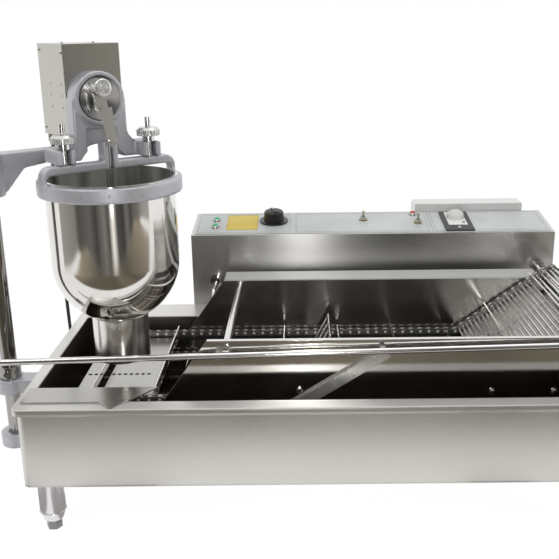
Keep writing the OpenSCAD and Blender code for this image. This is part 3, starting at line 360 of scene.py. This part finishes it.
looks = {
    casing_steel: ["tank_casing"],
    box_steel: ["control_box"],
    cover_steel: ["motor_cover"],
    head_steel: ["motor_box"],
    plate_steel: ["front_side_plate", "flights"],
    shelf_steel: ["back_side_plate"],
    strap_steel: ["brace_bar", "lift_bar_clips"],
    link_steel: ["crank_link"],
    deck_steel: ["deck_plate", "landing_plate"],
    tray_steel: ["incline_tray"],
    pan_steel: ["oil_pan"],
    hopper_coat: ["hopper"],
    hopper_steel: ["outlet_tube"],
    chrome: ["ring_studs", "probe_grommet", "thermostat_probe"],
    column_chrome: ["column", "column_collar"],
    bezel_grey: ["panel_hardware"],
    switch_metal: ["toggle_left", "toggle_right"],
    rod_steel: ["tie_bars", "lift_bar", "incline_rods", "drive_shaft", "flipper", "plunger"],
    chain_steel: ["front_chain", "back_chain", "idler_sprockets", "control_spindles", "shaft_bushes"],
    cast_alloy: ["arm_casting", "hopper_ring", "upper_bracket", "lower_bracket"],
    nut_alloy: ["thumb_nut_left", "thumb_nut_right"],
    crank_alloy: ["crank_disc"],
    leg_steel: ["legs"],
    foot_steel: ["foot_front_left", "foot_front_right", "foot_rear_left", "foot_rear_right"],
    sheath: ["heating_element"],
    rail_black: ["chain_rails", "lead_gland", "speed_plate"],
    knob_black: ["thermostat_knob"],
    film: ["panel_overlay"],
    lens_green: ["green_lamps"],
    lens_red: ["red_lamp"],
    dome_white: ["speed_knob"],
    motor_paint: ["gear_motor", "head_motor"],
    lead_rubber: ["head_lead"],
}
for material, members in looks.items():
    for name in members:
        nodes[name].data.materials.clear()
        nodes[name].data.materials.append(material)

# Mesh making
RAW = Matrix.Translation(SHIFT * MM) @ Matrix.Scale(MM, 4)
PANEL_CORNER, PANEL_SLOPE = (-221, 458, 342), math.atan(15.0 / 120.0)
COLUMN_SPOT, HEAD_TURN = (-471, 145, 0), math.radians(38.0)
ARM_LEN, HOPPER_OUT = 154, -82
PANEL = RAW @ Matrix.Translation(PANEL_CORNER) @ Matrix.Rotation(PANEL_SLOPE, 4, "X")
HEAD = RAW @ Matrix.Translation(COLUMN_SPOT) @ Matrix.Rotation(HEAD_TURN, 4, "Z")
HOPPER = HEAD @ Matrix.Translation((ARM_LEN, HOPPER_OUT, 0))


class Shape:
    """Collects faces in millimetres and turns them into a mesh at its place."""

    def __init__(self):
        self.points = []
        self.faces = []

    def add(self, points, faces, turn=Matrix.Identity(4)):
        first = len(self.points)
        self.points += [turn @ Vector(point) for point in points]
        self.faces += [[first + index for index in face] for face in faces]
        return self

    def lathe(self, profile, sides, turn=Matrix.Identity(4)):
        """Turned solid; the profile of (radius, height) starts and ends on the axis."""
        middle = profile[1:-1]
        points = [(0, 0, profile[0][1]), (0, 0, profile[-1][1])]
        for step in range(sides):
            angle = math.tau * step / sides
            points += [(radius * math.cos(angle), radius * math.sin(angle), height) for radius, height in middle]
        rows = len(middle)
        faces = []
        for step in range(sides):
            here, after = 2 + step * rows, 2 + (step + 1) % sides * rows
            faces.append((0, after, here))
            faces.append((1, here + rows - 1, after + rows - 1))
            faces += [(here + row, after + row, after + row + 1, here + row + 1) for row in range(rows - 1)]
        return self.add(points, faces, turn)

    def ring(self, profile, sides):
        """Turned ring; the profile of (radius, height) closes on itself."""
        rows = len(profile)
        points = []
        for step in range(sides):
            angle = math.tau * step / sides
            points += [(radius * math.cos(angle), radius * math.sin(angle), height) for radius, height in profile]
        faces = [
            (step * rows + row, (step + 1) % sides * rows + row,
             (step + 1) % sides * rows + (row + 1) % rows, step * rows + (row + 1) % rows)
            for step in range(sides) for row in range(rows)]
        return self.add(points, faces)

    def block(self, low, high):
        points = [(x, y, z) for x in (low[0], high[0]) for y in (low[1], high[1]) for z in (low[2], high[2])]
        faces = [(0, 1, 3, 2), (4, 6, 7, 5), (0, 4, 5, 1), (2, 3, 7, 6), (0, 2, 6, 4), (1, 5, 7, 3)]
        return self.add(points, faces)

    def slab(self, outline, low, high, turn=Matrix.Identity(4)):
        """Plate from an outline in x and y, between two heights."""
        count = len(outline)
        points = [(x, y, low) for x, y in outline] + [(x, y, high) for x, y in outline]
        faces = [tuple(range(count - 1, -1, -1)), tuple(range(count, 2 * count))]
        faces += [(k, (k + 1) % count, count + (k + 1) % count, count + k) for k in range(count)]
        return self.add(points, faces, turn)

    def mesh(self, name, place=Matrix.Identity(4), bevel=0.0):
        made = bpy.data.meshes.new(name)
        made.from_pydata(self.points, [], self.faces)
        work = bmesh.new()
        work.from_mesh(made)
        if bevel:
            sharp = [edge for edge in work.edges if edge.calc_face_angle(0) > 0.6]
            bmesh.ops.bevel(work, geom=sharp, offset=bevel, segments=2, affect="EDGES", profile=0.6)
        bmesh.ops.recalc_face_normals(work, faces=work.faces)
        work.to_mesh(made)
        work.free()
        made.transform(place)
        return made


def piece(name, mesh, material, body="root", angle=35.0):
    """Shows a finished mesh as a piece that rides on a body."""
    mesh.materials.clear()
    mesh.materials.append(material)
    mesh.shade_smooth()
    mesh.set_sharp_from_angle(angle=math.radians(angle))
    shown = bpy.data.objects.new(name, mesh)
    bpy.context.scene.collection.objects.link(shown)
    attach(shown, body)
    return shown


# Geometry Nodes
def node_tree(name, inputs):
    tree = bpy.data.node_groups.new(name, "GeometryNodeTree")
    for label, kind in inputs:
        tree.interface.new_socket(label, in_out="INPUT", socket_type="NodeSocket" + kind)
    tree.interface.new_socket("Result", in_out="OUTPUT", socket_type="NodeSocketGeometry")
    return tree, tree.nodes.new("NodeGroupInput").outputs


def grow(tree, kind, links):
    """Adds a node; links gives a socket or a value for each named input."""
    made = tree.nodes.new(kind)
    for key, value in links.items():
        if isinstance(value, bpy.types.NodeSocket):
            tree.links.new(value, made.inputs[key])
        else:
            made.inputs[key].default_value = value
    return made.outputs[0]


def close_tree(tree, geometry, finish):
    real = grow(tree, "GeometryNodeRealizeInstances", {"Geometry": geometry})
    done = grow(tree, "GeometryNodeSetMaterial", {"Geometry": real, "Material": finish})
    tree.links.new(done, tree.nodes.new("NodeGroupOutput").inputs[0])
    return tree


def copies_tree():
    """One item on every point, turned by the point's own angles."""
    tree, given = node_tree("copies on points", [
        ("Points", "Geometry"), ("Item", "Object"), ("Size", "Float"), ("Finish", "Material")])
    angles = tree.nodes.new("GeometryNodeInputNamedAttribute")
    angles.data_type = "FLOAT_VECTOR"
    angles.inputs["Name"].default_value = "turn"
    turn = grow(tree, "FunctionNodeEulerToRotation", {"Euler": angles.outputs["Attribute"]})
    item = tree.nodes.new("GeometryNodeObjectInfo")
    tree.links.new(given["Item"], item.inputs["Object"])
    copies = grow(tree, "GeometryNodeInstanceOnPoints", {
        "Points": given["Points"], "Instance": item.outputs["Geometry"], "Rotation": turn, "Scale": given["Size"]})
    return close_tree(tree, copies, given["Finish"])


def wire_tree():
    """A round wire along every line of the mesh."""
    tree, given = node_tree("wire along lines", [
        ("Lines", "Geometry"), ("Radius", "Float"), ("Sides", "Int"), ("Finish", "Material")])
    line = grow(tree, "GeometryNodeMeshToCurve", {"Mesh": given["Lines"]})
    section = grow(tree, "GeometryNodeCurvePrimitiveCircle", {"Resolution": given["Sides"], "Radius": given["Radius"]})
    tube = grow(tree, "GeometryNodeCurveToMesh", {"Curve": line, "Profile Curve": section, "Fill Caps": True})
    return close_tree(tree, tube, given["Finish"])


COPIES, WIRE = copies_tree(), wire_tree()


def made_by(tree, mesh, inputs):
    """Runs a tree on a mesh and gives back a plain mesh."""
    holder = bpy.data.objects.new("holder", mesh)
    bpy.context.scene.collection.objects.link(holder)
    step = holder.modifiers.new("nodes", "NODES")
    step.node_group = tree
    for socket in tree.interface.items_tree:
        if socket.in_out == "INPUT" and socket.name in inputs:
            step[socket.identifier] = inputs[socket.name]
    result = bpy.data.meshes.new_from_object(holder.evaluated_get(bpy.context.evaluated_depsgraph_get()))
    holder.modifiers.clear()
    bpy.data.objects.remove(holder)
    return result


def copies(name, item, spots, material, body="root", slot=None, place=RAW):
    """Repeats an item, drawn in millimetres, at (point, angles) spots of a place."""
    points = bpy.data.meshes.new(name + "_points")
    points.from_pydata([spot[0] for spot in spots], [], [])
    turns = points.attributes.new("turn", "FLOAT_VECTOR", "POINT")
    for value, spot in zip(turns.data, spots):
        value.vector = spot[1]
    source = bpy.data.objects.new(name + "_item", item.mesh(name + "_item"))
    bpy.context.scene.collection.objects.link(source)
    mesh = made_by(COPIES, points, {"Item": source, "Size": 1.0, "Finish": material})
    bpy.data.objects.remove(source)
    mesh.transform(place)
    return piece(name, mesh, material, body)


def wires(name, lines, radius, material, body="root", place=RAW, sides=10):
    """Round wires along lines of points, drawn in millimetres."""
    points, edges = [], []
    for line in lines:
        edges += [(len(points) + k, len(points) + k + 1) for k in range(len(line) - 1)]
        points += line
    paths = bpy.data.meshes.new(name + "_lines")
    paths.from_pydata(points, edges, [])
    mesh = made_by(WIRE, paths, {"Radius": radius, "Sides": sides, "Finish": material})
    mesh.transform(place)
    return piece(name, mesh, material, body, 60.0)


ROUTE_STEPS = 6


def smooth_route(points):
    """Points along one smooth curve through the given ones."""
    route = []
    ends = [points[0]] + list(points) + [points[-1]]
    for a, b, c, d in zip(ends, ends[1:], ends[2:], ends[3:]):
        a, b, c, d = Vector(a), Vector(b), Vector(c), Vector(d)
        for step in range(ROUTE_STEPS):
            t = step / ROUTE_STEPS
            route.append(0.5 * (2 * b + (c - a) * t + (2 * a - 5 * b + 4 * c - d) * t * t
                                + (3 * b - a - 3 * c + d) * t ** 3))
    return route + [Vector(points[-1])]


# Lead of the head motor
LEAD = [
    (-401.4, 250.9, 548), (-401.5, 252, 536), (-404, 260, 523), (-411, 275, 509), (-419, 293, 493),
    (-427, 315, 469), (-434, 340, 427), (-440, 362, 370), (-441, 376, 305), (-442, 384, 235), (-443, 394, 175),
    (-444, 414, 125), (-440, 442, 97), (-426, 472, 87), (-402, 495, 93), (-374, 509, 112),
    (-346, 516, 132), (-316, 519, 149), (-286, 520, 161), (-262, 520, 167), (-246, 520, 170)]
LEAD_D = 6.0
route = smooth_route(LEAD)
lead_length = sum((b - a).length for a, b in zip(route, route[1:])) * MM
lead = wires("motor_lead", [route], LEAD_D / 2, lead_rubber, sides=12)
lead.parent = None
del lead["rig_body"]
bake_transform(lead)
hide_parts("head_lead")
[RAW @ point for point in route]


# Castings with rounded edges
def rounded_casting(node, voxel, rounds, body):
    """The casting's own solid with its edges softened as a foundry leaves them."""
    work = bmesh.new()
    work.from_mesh(nodes[node].data)
    bmesh.ops.remove_doubles(work, verts=work.verts, dist=1e-6)
    mesh = bpy.data.meshes.new(node + "_cast")
    work.to_mesh(mesh)
    work.free()
    holder = bpy.data.objects.new("holder", mesh)
    bpy.context.scene.collection.objects.link(holder)
    remesh = holder.modifiers.new("remesh", "REMESH")
    remesh.mode = "VOXEL"
    remesh.voxel_size = voxel
    soft = holder.modifiers.new("soft", "SMOOTH")
    soft.factor = 0.5
    soft.iterations = rounds
    result = bpy.data.meshes.new_from_object(holder.evaluated_get(bpy.context.evaluated_depsgraph_get()))
    bpy.data.objects.remove(holder)
    made = piece(node + "_cast", result, cast_alloy, body, 60.0)
    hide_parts(node)
    return made


rounded_casting("arm_casting", 0.0016, 8, "head")
rounded_casting("hopper_ring", 0.0016, 8, "head")
rounded_casting("upper_bracket", 0.0014, 6, "root")
rounded_casting("lower_bracket", 0.0014, 6, "root")

# Roller chains
PITCH, TEETH, LEVEL, CLIMB = 15.875, 8, 38, 12
SLOPE = math.radians(36.0)
WHEEL = PITCH / (2 * math.sin(math.pi / TEETH))
RUN_Z, IDLER_X = 182.0, -341.0
IDLER_Z = RUN_Z - WHEEL
BEND_X = IDLER_X + LEVEL * PITCH
DRIVE_X = BEND_X + CLIMB * PITCH * math.cos(SLOPE) + WHEEL * math.sin(SLOPE)
DRIVE_Z = RUN_Z + CLIMB * PITCH * math.sin(SLOPE) - WHEEL * math.cos(SLOPE)
CORNER = 2 * WHEEL * math.tan(SLOPE / 2)
SIDE, LINKS = LEVEL + CLIMB, 2 * (LEVEL + CLIMB) + TEETH


def chain_point(i):
    """Where pin i of the loop is, in x and z, counted from above the idler."""
    step = math.tau / TEETH
    if i <= LEVEL:
        return IDLER_X + i * PITCH, RUN_Z
    if i <= SIDE:
        return BEND_X + (i - LEVEL) * PITCH * math.cos(SLOPE), RUN_Z + (i - LEVEL) * PITCH * math.sin(SLOPE)
    if i <= SIDE + TEETH // 2:
        angle = math.pi / 2 + SLOPE - (i - SIDE) * step
        return DRIVE_X + WHEEL * math.cos(angle), DRIVE_Z + WHEEL * math.sin(angle)
    if i <= 2 * SIDE + TEETH // 2:
        back = (i - SIDE - TEETH // 2) * PITCH
        rest = CLIMB * PITCH - CORNER
        if back < rest:
            return (DRIVE_X + WHEEL * math.sin(SLOPE) - back * math.cos(SLOPE),
                    DRIVE_Z - WHEEL * math.cos(SLOPE) - back * math.sin(SLOPE))
        return BEND_X + CORNER - (back - rest), IDLER_Z - WHEEL
    angle = -math.pi / 2 - (i - 2 * SIDE - TEETH // 2) * step
    return IDLER_X + WHEEL * math.cos(angle), IDLER_Z + WHEEL * math.sin(angle)


def link_outline(eye, waist):
    """Figure-of-eight side plate, along x."""
    outline = []
    for side in (1, -1):
        for k in range(7):
            angle = math.radians(-66 + 22 * k) if side > 0 else math.radians(114 + 22 * k)
            outline.append((side * PITCH / 2 + eye * math.cos(angle), eye * math.sin(angle)))
        outline.append((0, side * waist / 2))
    return outline


UPRIGHT = Matrix.Rotation(math.radians(90), 4, "X")


def chain_link(gap, thick, eye, waist):
    link = Shape()
    for side in (-1, 1):
        ends = sorted((side * gap, side * (gap + thick)))
        link.slab(link_outline(eye, waist), ends[0], ends[1], UPRIGHT)
    return link


def chain_pin(half, r, chamfer, sides):
    return Shape().lathe([(0, -half), (r - chamfer, -half), (r, chamfer - half), (r, half - chamfer),
                          (r - chamfer, half), (0, half)], sides, UPRIGHT)


inner_link = chain_link(2.5, 1.3, 6.3, 9.6)
outer_link = chain_link(3.9, 1.1, 6.1, 8.4)
roller = chain_pin(2.5, 5.1, 0.6, 14)
rivet = chain_pin(5.5, 2.5, 0.5, 10)
CHAIN_ROWS = (("front", 88.5), ("back", 368.5))
for row, y in CHAIN_ROWS:
    spots = []
    for i in range(LINKS):
        (x0, z0), (x1, z1) = chain_point(i), chain_point(i + 1)
        spots.append((((x0 + x1) / 2, y, (z0 + z1) / 2), (0, -math.atan2(z1 - z0, x1 - x0), 0)))
    inner = copies(row + "_chain_inner_links", inner_link, spots[0::2], chain_steel, slot="chain_steel")
    copies(row + "_chain_outer_links", outer_link, spots[1::2], chain_steel, slot="chain_steel")
    pins = [((chain_point(i)[0], y, chain_point(i)[1]), (0, 0, 0)) for i in range(LINKS)]
    copies(row + "_chain_rollers", roller, pins, painted_highlight_roller_steel, slot="chain_steel")
    copies(row + "_chain_rivets", rivet, pins, painted_highlight_roller_steel, slot="chain_steel")
    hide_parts(row + "_chain")


# Wires that carry the belt rods up the incline
def on_slope(along, drop):
    return (BEND_X + along * math.cos(SLOPE) + drop * math.sin(SLOPE),
            RUN_Z + along * math.sin(SLOPE) - drop * math.cos(SLOPE))


WIRE_ROWS, WIRE_DROP, WIRE_R = (178, 258), 2.6, 0.9
belt_wires = []
for y in WIRE_ROWS:
    ends = [on_slope(along, WIRE_DROP) for along in (2, CLIMB * PITCH - 4)]
    belt_wires.append([(x, y, z) for x, z in ends])
wires("belt_support_wires", belt_wires, WIRE_R, chain_steel)


# Fasteners
def cap_screw(d, h):
    r = d / 2
    return Shape().lathe([(0, -0.4), (r, -0.4), (r, 0.35 * h), (0.8 * r, 0.85 * h), (0.45 * r, h),
                          (0.34 * r, 0.4 * h), (0, 0.35 * h)], 16)


def hex_bolt(flats, h):
    r = flats / math.sqrt(3)
    hexagon = [(r * math.cos(math.radians(60 * k)), r * math.sin(math.radians(60 * k))) for k in range(6)]
    bolt = Shape().ring([(0.4 * r, -0.4), (1.35 * r, -0.4), (1.35 * r, 0.8), (1.25 * r, 1.0), (0.4 * r, 1.0)], 20)
    bolt.slab(hexagon, 0.9, h - 0.8)
    inset = [(0.86 * x, 0.86 * y) for x, y in hexagon]
    bolt.slab(inset, h - 0.9, h)
    return bolt


TO_FRONT = (math.radians(90), 0, 0)
TO_LEFT = (0, math.radians(-90), 0)
LEVEL_UP = (0, 0, 0)
PLATE_FRONT, BRACKET_LEFT = 77, -420
plate_bolts = [((x, PLATE_FRONT, z), TO_FRONT) for x, z in ((266, 194), (358, 193), (-20, 200))]
copies("plate_bolts", hex_bolt(6.5, 4.5), plate_bolts, chrome, slot="chrome")
tie_bar_ends = [((x, PLATE_FRONT, z), TO_FRONT) for x, z in ((-127, 266), (451.6, 221))]
copies("tie_bar_nuts", hex_bolt(10, 7), tie_bar_ends, chrome, slot="chrome")

MOTOR_HALF, MOTOR_ASIDE, MOTOR_TOP = 45, 5, 695
motor_left = ARM_LEN - MOTOR_HALF + MOTOR_ASIDE
screws = [((motor_left, y, z), TO_LEFT) for y, z in ((-34, 683), (46, 686), (46, 570))]
screws += [((x, 2, MOTOR_TOP), LEVEL_UP) for x in (133, 183)]
copies("motor_box_screws", cap_screw(5, 2.2), screws, chrome, "head", "chrome", HEAD)
dimple = Shape().lathe([(0, -0.3), (3.6, -0.3), (3.2, 0.5), (2.2, 1.1), (0, 1.3)], 18)
dimples = [((motor_left, y, z), TO_LEFT) for y in (-24, 16) for z in (638, 621, 604)]
copies("motor_box_dimples", dimple, dimples, dimple_steel, "head", "brushed_panel", HEAD)
bracket_bolts = [((BRACKET_LEFT, y, z), TO_LEFT) for y in (116, 174) for z in (94, 185)]
copies("bracket_bolts", hex_bolt(10, 6), bracket_bolts, chrome, slot="chrome")

# Turned head of the crank pin
pin_axis = HEAD.inverted() @ Vector(hinge["link_turn"]["pos_m"])
pin_head = Shape().lathe([(0, -0.5), (12.9, -0.5), (12.9, 0.3), (11.9, 1.5), (9.6, 1.8), (9.2, 1.2), (5.4, 1.2),
                          (4.9, 1.9), (0, 2.1)], 48)
PIN_FRONT = -100
copies("crank_pin_head", pin_head, [((pin_axis.x, PIN_FRONT, pin_axis.z), TO_FRONT)], pin_alloy,
       "crank", "turned_alloy", HEAD)

# Rolled seam round the foot of each leg tube
LEG_R, SEAM_Z = 19.0, 28.6
foot_boxes = [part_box("foot_" + corner) for corner in ("front_left", "front_right", "rear_left", "rear_right")]
leg_spots = [((Vector(a) + Vector(b)) / 2 / MM - SHIFT) for a, b in foot_boxes]
seam_section = ((-0.6, 0), (0.5, 0.5), (0.9, 1.4), (0.5, 2.3), (-0.6, 2.8))
seam = Shape().ring([(LEG_R + out, up) for out, up in seam_section], 40)
seams = [((spot.x, spot.y, SEAM_Z), LEVEL_UP) for spot in leg_spots]
copies("leg_seams", seam, seams, leg_steel, slot="turned_alloy")

# Control panel: x along the box, y up the slope, z out of it
FILM_TOP = 1.2
FIELDS = [(6, 189), (191, 452), (454, 673)]
line_grey = plastic("printed line", (0.20, 0.22, 0.22), 0.5, 400.0, 0.00001)
plate_yellow = plastic("yellow plate", (0.80, 0.60, 0.09), 0.45, 400.0, 0.00002)
mark_white = plastic("printed mark", (0.82, 0.82, 0.80), 0.45, 400.0, 0.00001)
lens_dark = plastic("dark red lens", (0.22, 0.02, 0.03), 0.15, 200.0, 0.00001)

borders = []
for left, right in FIELDS:
    corners = [(left + 5, 11), (right - 5, 11), (right - 5, 109), (left + 5, 109), (left + 5, 11)]
    borders.append([(x, y, FILM_TOP) for x, y in corners])
wires("panel_border_lines", borders, 0.28, line_grey, place=PANEL, sides=6)

yellow = Shape().block((63, 24, FILM_TOP - 0.1), (123, 104, FILM_TOP + 0.7))
piece("blank_yellow_plate", yellow.mesh("blank_yellow_plate", PANEL, 0.25), plate_yellow)
edge_line = [(65, 26), (121, 26), (121, 102), (65, 102), (65, 26)]
wires("yellow_plate_border", [[(x, y, FILM_TOP + 0.7) for x, y in edge_line]], 0.22, line_grey,
      place=PANEL, sides=6)

# Thermostat: scale on the skirt, cap and pointer on the knob
KNOB_FOOT = FILM_TOP + 0.4
DIAL_X, DIAL_Y, POINTER_TURN = 153, 69, math.radians(20)
ticks = []
for k in range(21):
    angle = math.radians(225 - 13.5 * k)
    reach = 21.6 if k % 2 == 0 else 23.0
    ticks.append([(DIAL_X + r * math.cos(angle), DIAL_Y + r * math.sin(angle), KNOB_FOOT + 3.0)
                  for r in (reach, 25.6)])
wires("dial_scale", ticks, 0.3, mark_white, "thermostat", PANEL, 6)
cap = Shape().lathe([(0, 20.4), (13.6, 20.4), (14.0, 21.3), (12.6, 22.2), (9.0, 22.4), (8.0, 21.9), (0, 21.8)], 48)
cap.block((-2.6, -13.2, 21.2), (2.6, 13.2, 23.6))
knob_place = PANEL @ Matrix.Translation((DIAL_X, DIAL_Y, KNOB_FOOT)) @ Matrix.Rotation(POINTER_TURN, 4, "Z")
piece("thermostat_cap", cap.mesh("thermostat_cap", knob_place, 0.35), knob_black, "thermostat")
pointer = Shape().block((-0.5, 4.0, 23.4), (0.5, 12.6, 23.8))
piece("thermostat_pointer", pointer.mesh("thermostat_pointer", knob_place), mark_white, "thermostat")

# Speed controller: white face plate, small lamp and screw beside the dome
FACE_TOP, SPEED_SPOT = 4.5, (504, 72, 0)
face = Shape().block((-18, -40, 4.1), (18, 30, FACE_TOP))
face_place = PANEL @ Matrix.Translation(SPEED_SPOT)
piece("speed_face_plate", face.mesh("speed_face_plate", face_place), mark_white)
copies("speed_lamp", Shape().lathe([(0, -0.3), (2.4, -0.3), (2.4, 0.8), (1.6, 1.6), (0, 1.8)], 16),
       [((12, -28, FACE_TOP), LEVEL_UP)], lens_dark, slot="red_lens", place=face_place)
copies("speed_plate_screw", cap_screw(6.5, 2.0), [((0, -54, 4.2), LEVEL_UP)], chrome, slot="chrome", place=face_place)
speed_ticks = []
for k in range(11):
    angle = math.radians(225 - 27 * k)
    speed_ticks.append([(r * math.cos(angle), r * math.sin(angle), FACE_TOP) for r in (17.0, 18.0)])
wires("speed_scale", speed_ticks, 0.25, line_grey, place=face_place, sides=6)

# Nuts under the switches and bezels
switch_nut = Shape()
switch_nut.ring([(6.05, 0), (9.5, 0), (9.5, 0.7), (6.05, 0.7)], 32)
switch_nut.ring([(6.05, 0.7), (7.7, 0.7), (7.9, 1.2), (7.9, 2.8), (7.3, 3.4), (6.05, 3.4)], 6)
copies("switch_nuts", switch_nut, [((326, 72, FILM_TOP), LEVEL_UP), ((430, 55, FILM_TOP), (0, 0, 0.3))],
       switch_metal, slot="chrome", place=PANEL)
bezel = Shape().ring([(5.0, 0), (8.6, 0), (8.6, 1.2), (8.0, 2.2), (7.6, 4.2), (6.4, 4.8), (5.0, 4.4)], 36)
copies("lamp_bezels", bezel, [((x, y, FILM_TOP), LEVEL_UP) for x, y in ((42, 40), (42, 76), (425, 100))],
       bezel_grey, slot="chrome", place=PANEL)

# Rubber in the probe's grommet
hole = Shape().ring([(3.05, 0), (6.2, 0), (6.2, 6.2), (5.8, 6.5), (3.05, 6.5)], 36)
PROBE_HOLE = (-176, 458, 255)
hole_place = RAW @ Matrix.Translation(PROBE_HOLE) @ UPRIGHT
piece("grommet_rubber", hole.mesh("grommet_rubber", hole_place), rail_black)

# Hopper: bead at the outlet joint
HOPPER_MID, HOPPER_R, OUTLET_R, BEAD_R = 377.0, 96.0, 43.0, 1.6
OUTLET_TOP = HOPPER_MID - math.sqrt(HOPPER_R ** 2 - OUTLET_R ** 2)
bead_angles = [math.radians(angle) for angle in range(0, 360, 45)]
bead = Shape().ring([(OUTLET_R + BEAD_R * math.cos(angle), OUTLET_TOP + BEAD_R * math.sin(angle))
                     for angle in bead_angles], 72)
piece("outlet_weld_bead", bead.mesh("outlet_weld_bead", HOPPER), hopper_steel, "head")


# Studio
def stage_sheet(name, corners, faces, material):
    mesh = bpy.data.meshes.new(name)
    mesh.from_pydata([Vector(corner) for corner in corners], [], faces)
    mesh.materials.append(material)
    sheet = bpy.data.objects.new(name, mesh)
    bpy.context.scene.collection.objects.link(sheet)
    return sheet


def reflected_only(sheet):
    """Shown in polished metal alone, as the room round the table is."""
    sheet.visible_camera = False
    sheet.visible_diffuse = False
    sheet.visible_shadow = False
    sheet.visible_transmission = False


def floor_finish():
    finish = Finish("studio floor")
    seen = finish.node("LightPath", out="Is Camera Ray")
    mirrored = finish.node("LightPath", out="Is Glossy Ray")
    through = finish.node("LightPath", out="Is Transmission Ray")
    path = seen.math("MAXIMUM", seen.math("MAXIMUM", seen, mirrored), through)
    paint = finish.node("BsdfDiffuse", {}, {"Color": (0.86, 0.86, 0.86, 1)})
    glow = finish.node("Emission", {}, {"Color": (1, 1, 1, 1), "Strength": 1.06})
    both = finish.node("MixShader", {}, {0: path * 0.9, 1: paint, 2: glow})
    finish.node("OutputMaterial", {}, {"Surface": both})
    return finish.material


def room_finish(name, start, width, stops, warmth):
    """Upright bands across the room in front of the machine."""
    finish = Finish(name)
    across = finish.node("SeparateXYZ", {}, {0: finish.place}, out=0)
    bands = finish.ramp((across - start) * (1 / width), stops)
    tinted = finish.node("Mix", {"data_type": "RGBA", "blend_type": "MULTIPLY"}, {0: 1.0, 6: bands, 7: warmth}, out=2)
    glow = finish.node("Emission", {}, {"Color": tinted, "Strength": 1.0})
    finish.node("OutputMaterial", {}, {"Surface": glow})
    return finish.material


FLOOR = [(-6, -6, 0), (6, -6, 0), (6, 6, 0), (-6, 6, 0)]
stage_sheet("floor", FLOOR, [(0, 1, 2, 3)], floor_finish())
wall_bands = ((0.0, 0.40), (0.06, 0.10), (0.20, 0.16), (0.30, 0.07), (0.40, 0.24), (0.455, 0.08), (0.475, 0.55),
              (0.50, 1.15), (0.53, 0.50), (0.55, 0.10), (0.64, 0.06), (0.70, 0.20), (0.78, 0.08), (0.92, 0.20),
              (1.0, 0.45))
plan = [(-1.75, -0.2), (-1.65, -1.1), (-1.3, -1.55), (1.3, -1.55), (1.65, -1.1), (1.75, -0.6)]
wall = [(x, y, z) for z in (0.0, 2.2) for x, y in plan]
reflected_only(stage_sheet("room_wall", wall, [(k, k + 1, k + 7, k + 6) for k in range(5)],
                           room_finish("room wall", -1.75, 3.5, wall_bands, (1.0, 0.96, 0.90, 1))))
table_bands = ((0.0, 0.40), (0.25, 0.16), (0.45, 0.13), (0.50, 0.20), (0.56, 0.18), (0.64, 0.13), (1.0, 0.40))
TABLE = [(-1.5, -1.54, 0.002), (1.5, -1.54, 0.002), (1.5, -0.62, 0.002), (-1.5, -0.62, 0.002)]
reflected_only(stage_sheet("brown_table", TABLE, [(0, 1, 2, 3)],
                           room_finish("brown table", -1.5, 3.0, table_bands, (1.0, 0.88, 0.68, 1))))

# Dark sheets beside each leg, seen only in reflections: painted shade, the shadowed floor under the machine as the leg
# tubes mirror it
patches, quads = [], []
for spot in leg_spots:
    for left, right in ((-150, -46), (22, 150)):
        first = len(patches)
        patches += [at(spot.x + x, spot.y + y, 1) for x, y in ((left, -150), (right, -150), (right, 90), (left, 90))]
        quads.append(tuple(range(first, first + 4)))
reflected_only(stage_sheet("table_beside_legs", patches, quads,
                           room_finish("painted floor shade", -1.5, 3.0, ((0.0, 0.36), (1.0, 0.36)), (1.0, 0.96, 0.95, 1))))

# Air: white where it is seen or mirrored, dimmer where it lights
AIR_LIGHT, AIR_SEEN = 0.55, 1.0
world = bpy.data.worlds.new("studio")
bpy.context.scene.world = world
world.use_nodes = True
sky = world.node_tree
sky.nodes.clear()
rays = sky.nodes.new("ShaderNodeLightPath")
seen = sky.nodes.new("ShaderNodeMath")
seen.operation = "MAXIMUM"
sky.links.new(rays.outputs["Is Camera Ray"], seen.inputs[0])
sky.links.new(rays.outputs["Is Glossy Ray"], seen.inputs[1])
through = sky.nodes.new("ShaderNodeMath")
through.operation = "MAXIMUM"
sky.links.new(seen.outputs[0], through.inputs[0])
sky.links.new(rays.outputs["Is Transmission Ray"], through.inputs[1])
level = sky.nodes.new("ShaderNodeMath")
level.operation = "MULTIPLY_ADD"
level.inputs[1].default_value = AIR_SEEN - AIR_LIGHT
level.inputs[2].default_value = AIR_LIGHT
sky.links.new(through.outputs[0], level.inputs[0])
air = sky.nodes.new("ShaderNodeBackground")
air.inputs["Color"].default_value = (1, 1, 1, 1)
sky.links.new(level.outputs[0], air.inputs["Strength"])
end = sky.nodes.new("ShaderNodeOutputWorld")
sky.links.new(air.outputs[0], end.inputs["Surface"])


def softbox(name, spot, target, size, power, mirrored=True):
    lamp = bpy.data.lights.new(name, "AREA")
    lamp.shape = "RECTANGLE"
    lamp.size, lamp.size_y = size
    lamp.energy = power
    holder = bpy.data.objects.new(name, lamp)
    bpy.context.scene.collection.objects.link(holder)
    holder.visible_glossy = mirrored
    aim = Vector(target) - Vector(spot)
    holder.matrix_world = Matrix.Translation(spot) @ aim.to_track_quat("-Z", "Y").to_matrix().to_4x4()


softbox("key", (-1.6, -1.8, 2.4), (0, 0, 0.25), (1.2, 1.2), 18)
softbox("fill", (2.2, -1.2, 1.7), (0, 0, 0.25), (1.0, 1.4), 9, mirrored=False)
softbox("strip", (0.0, -1.46, 0.50), (0.0, 0.2, 0.3), (0.08, 0.6), 2.2)
softbox("top", (0, 0.4, 2.6), (0, 0, 0.2), (2.0, 1.2), 8)
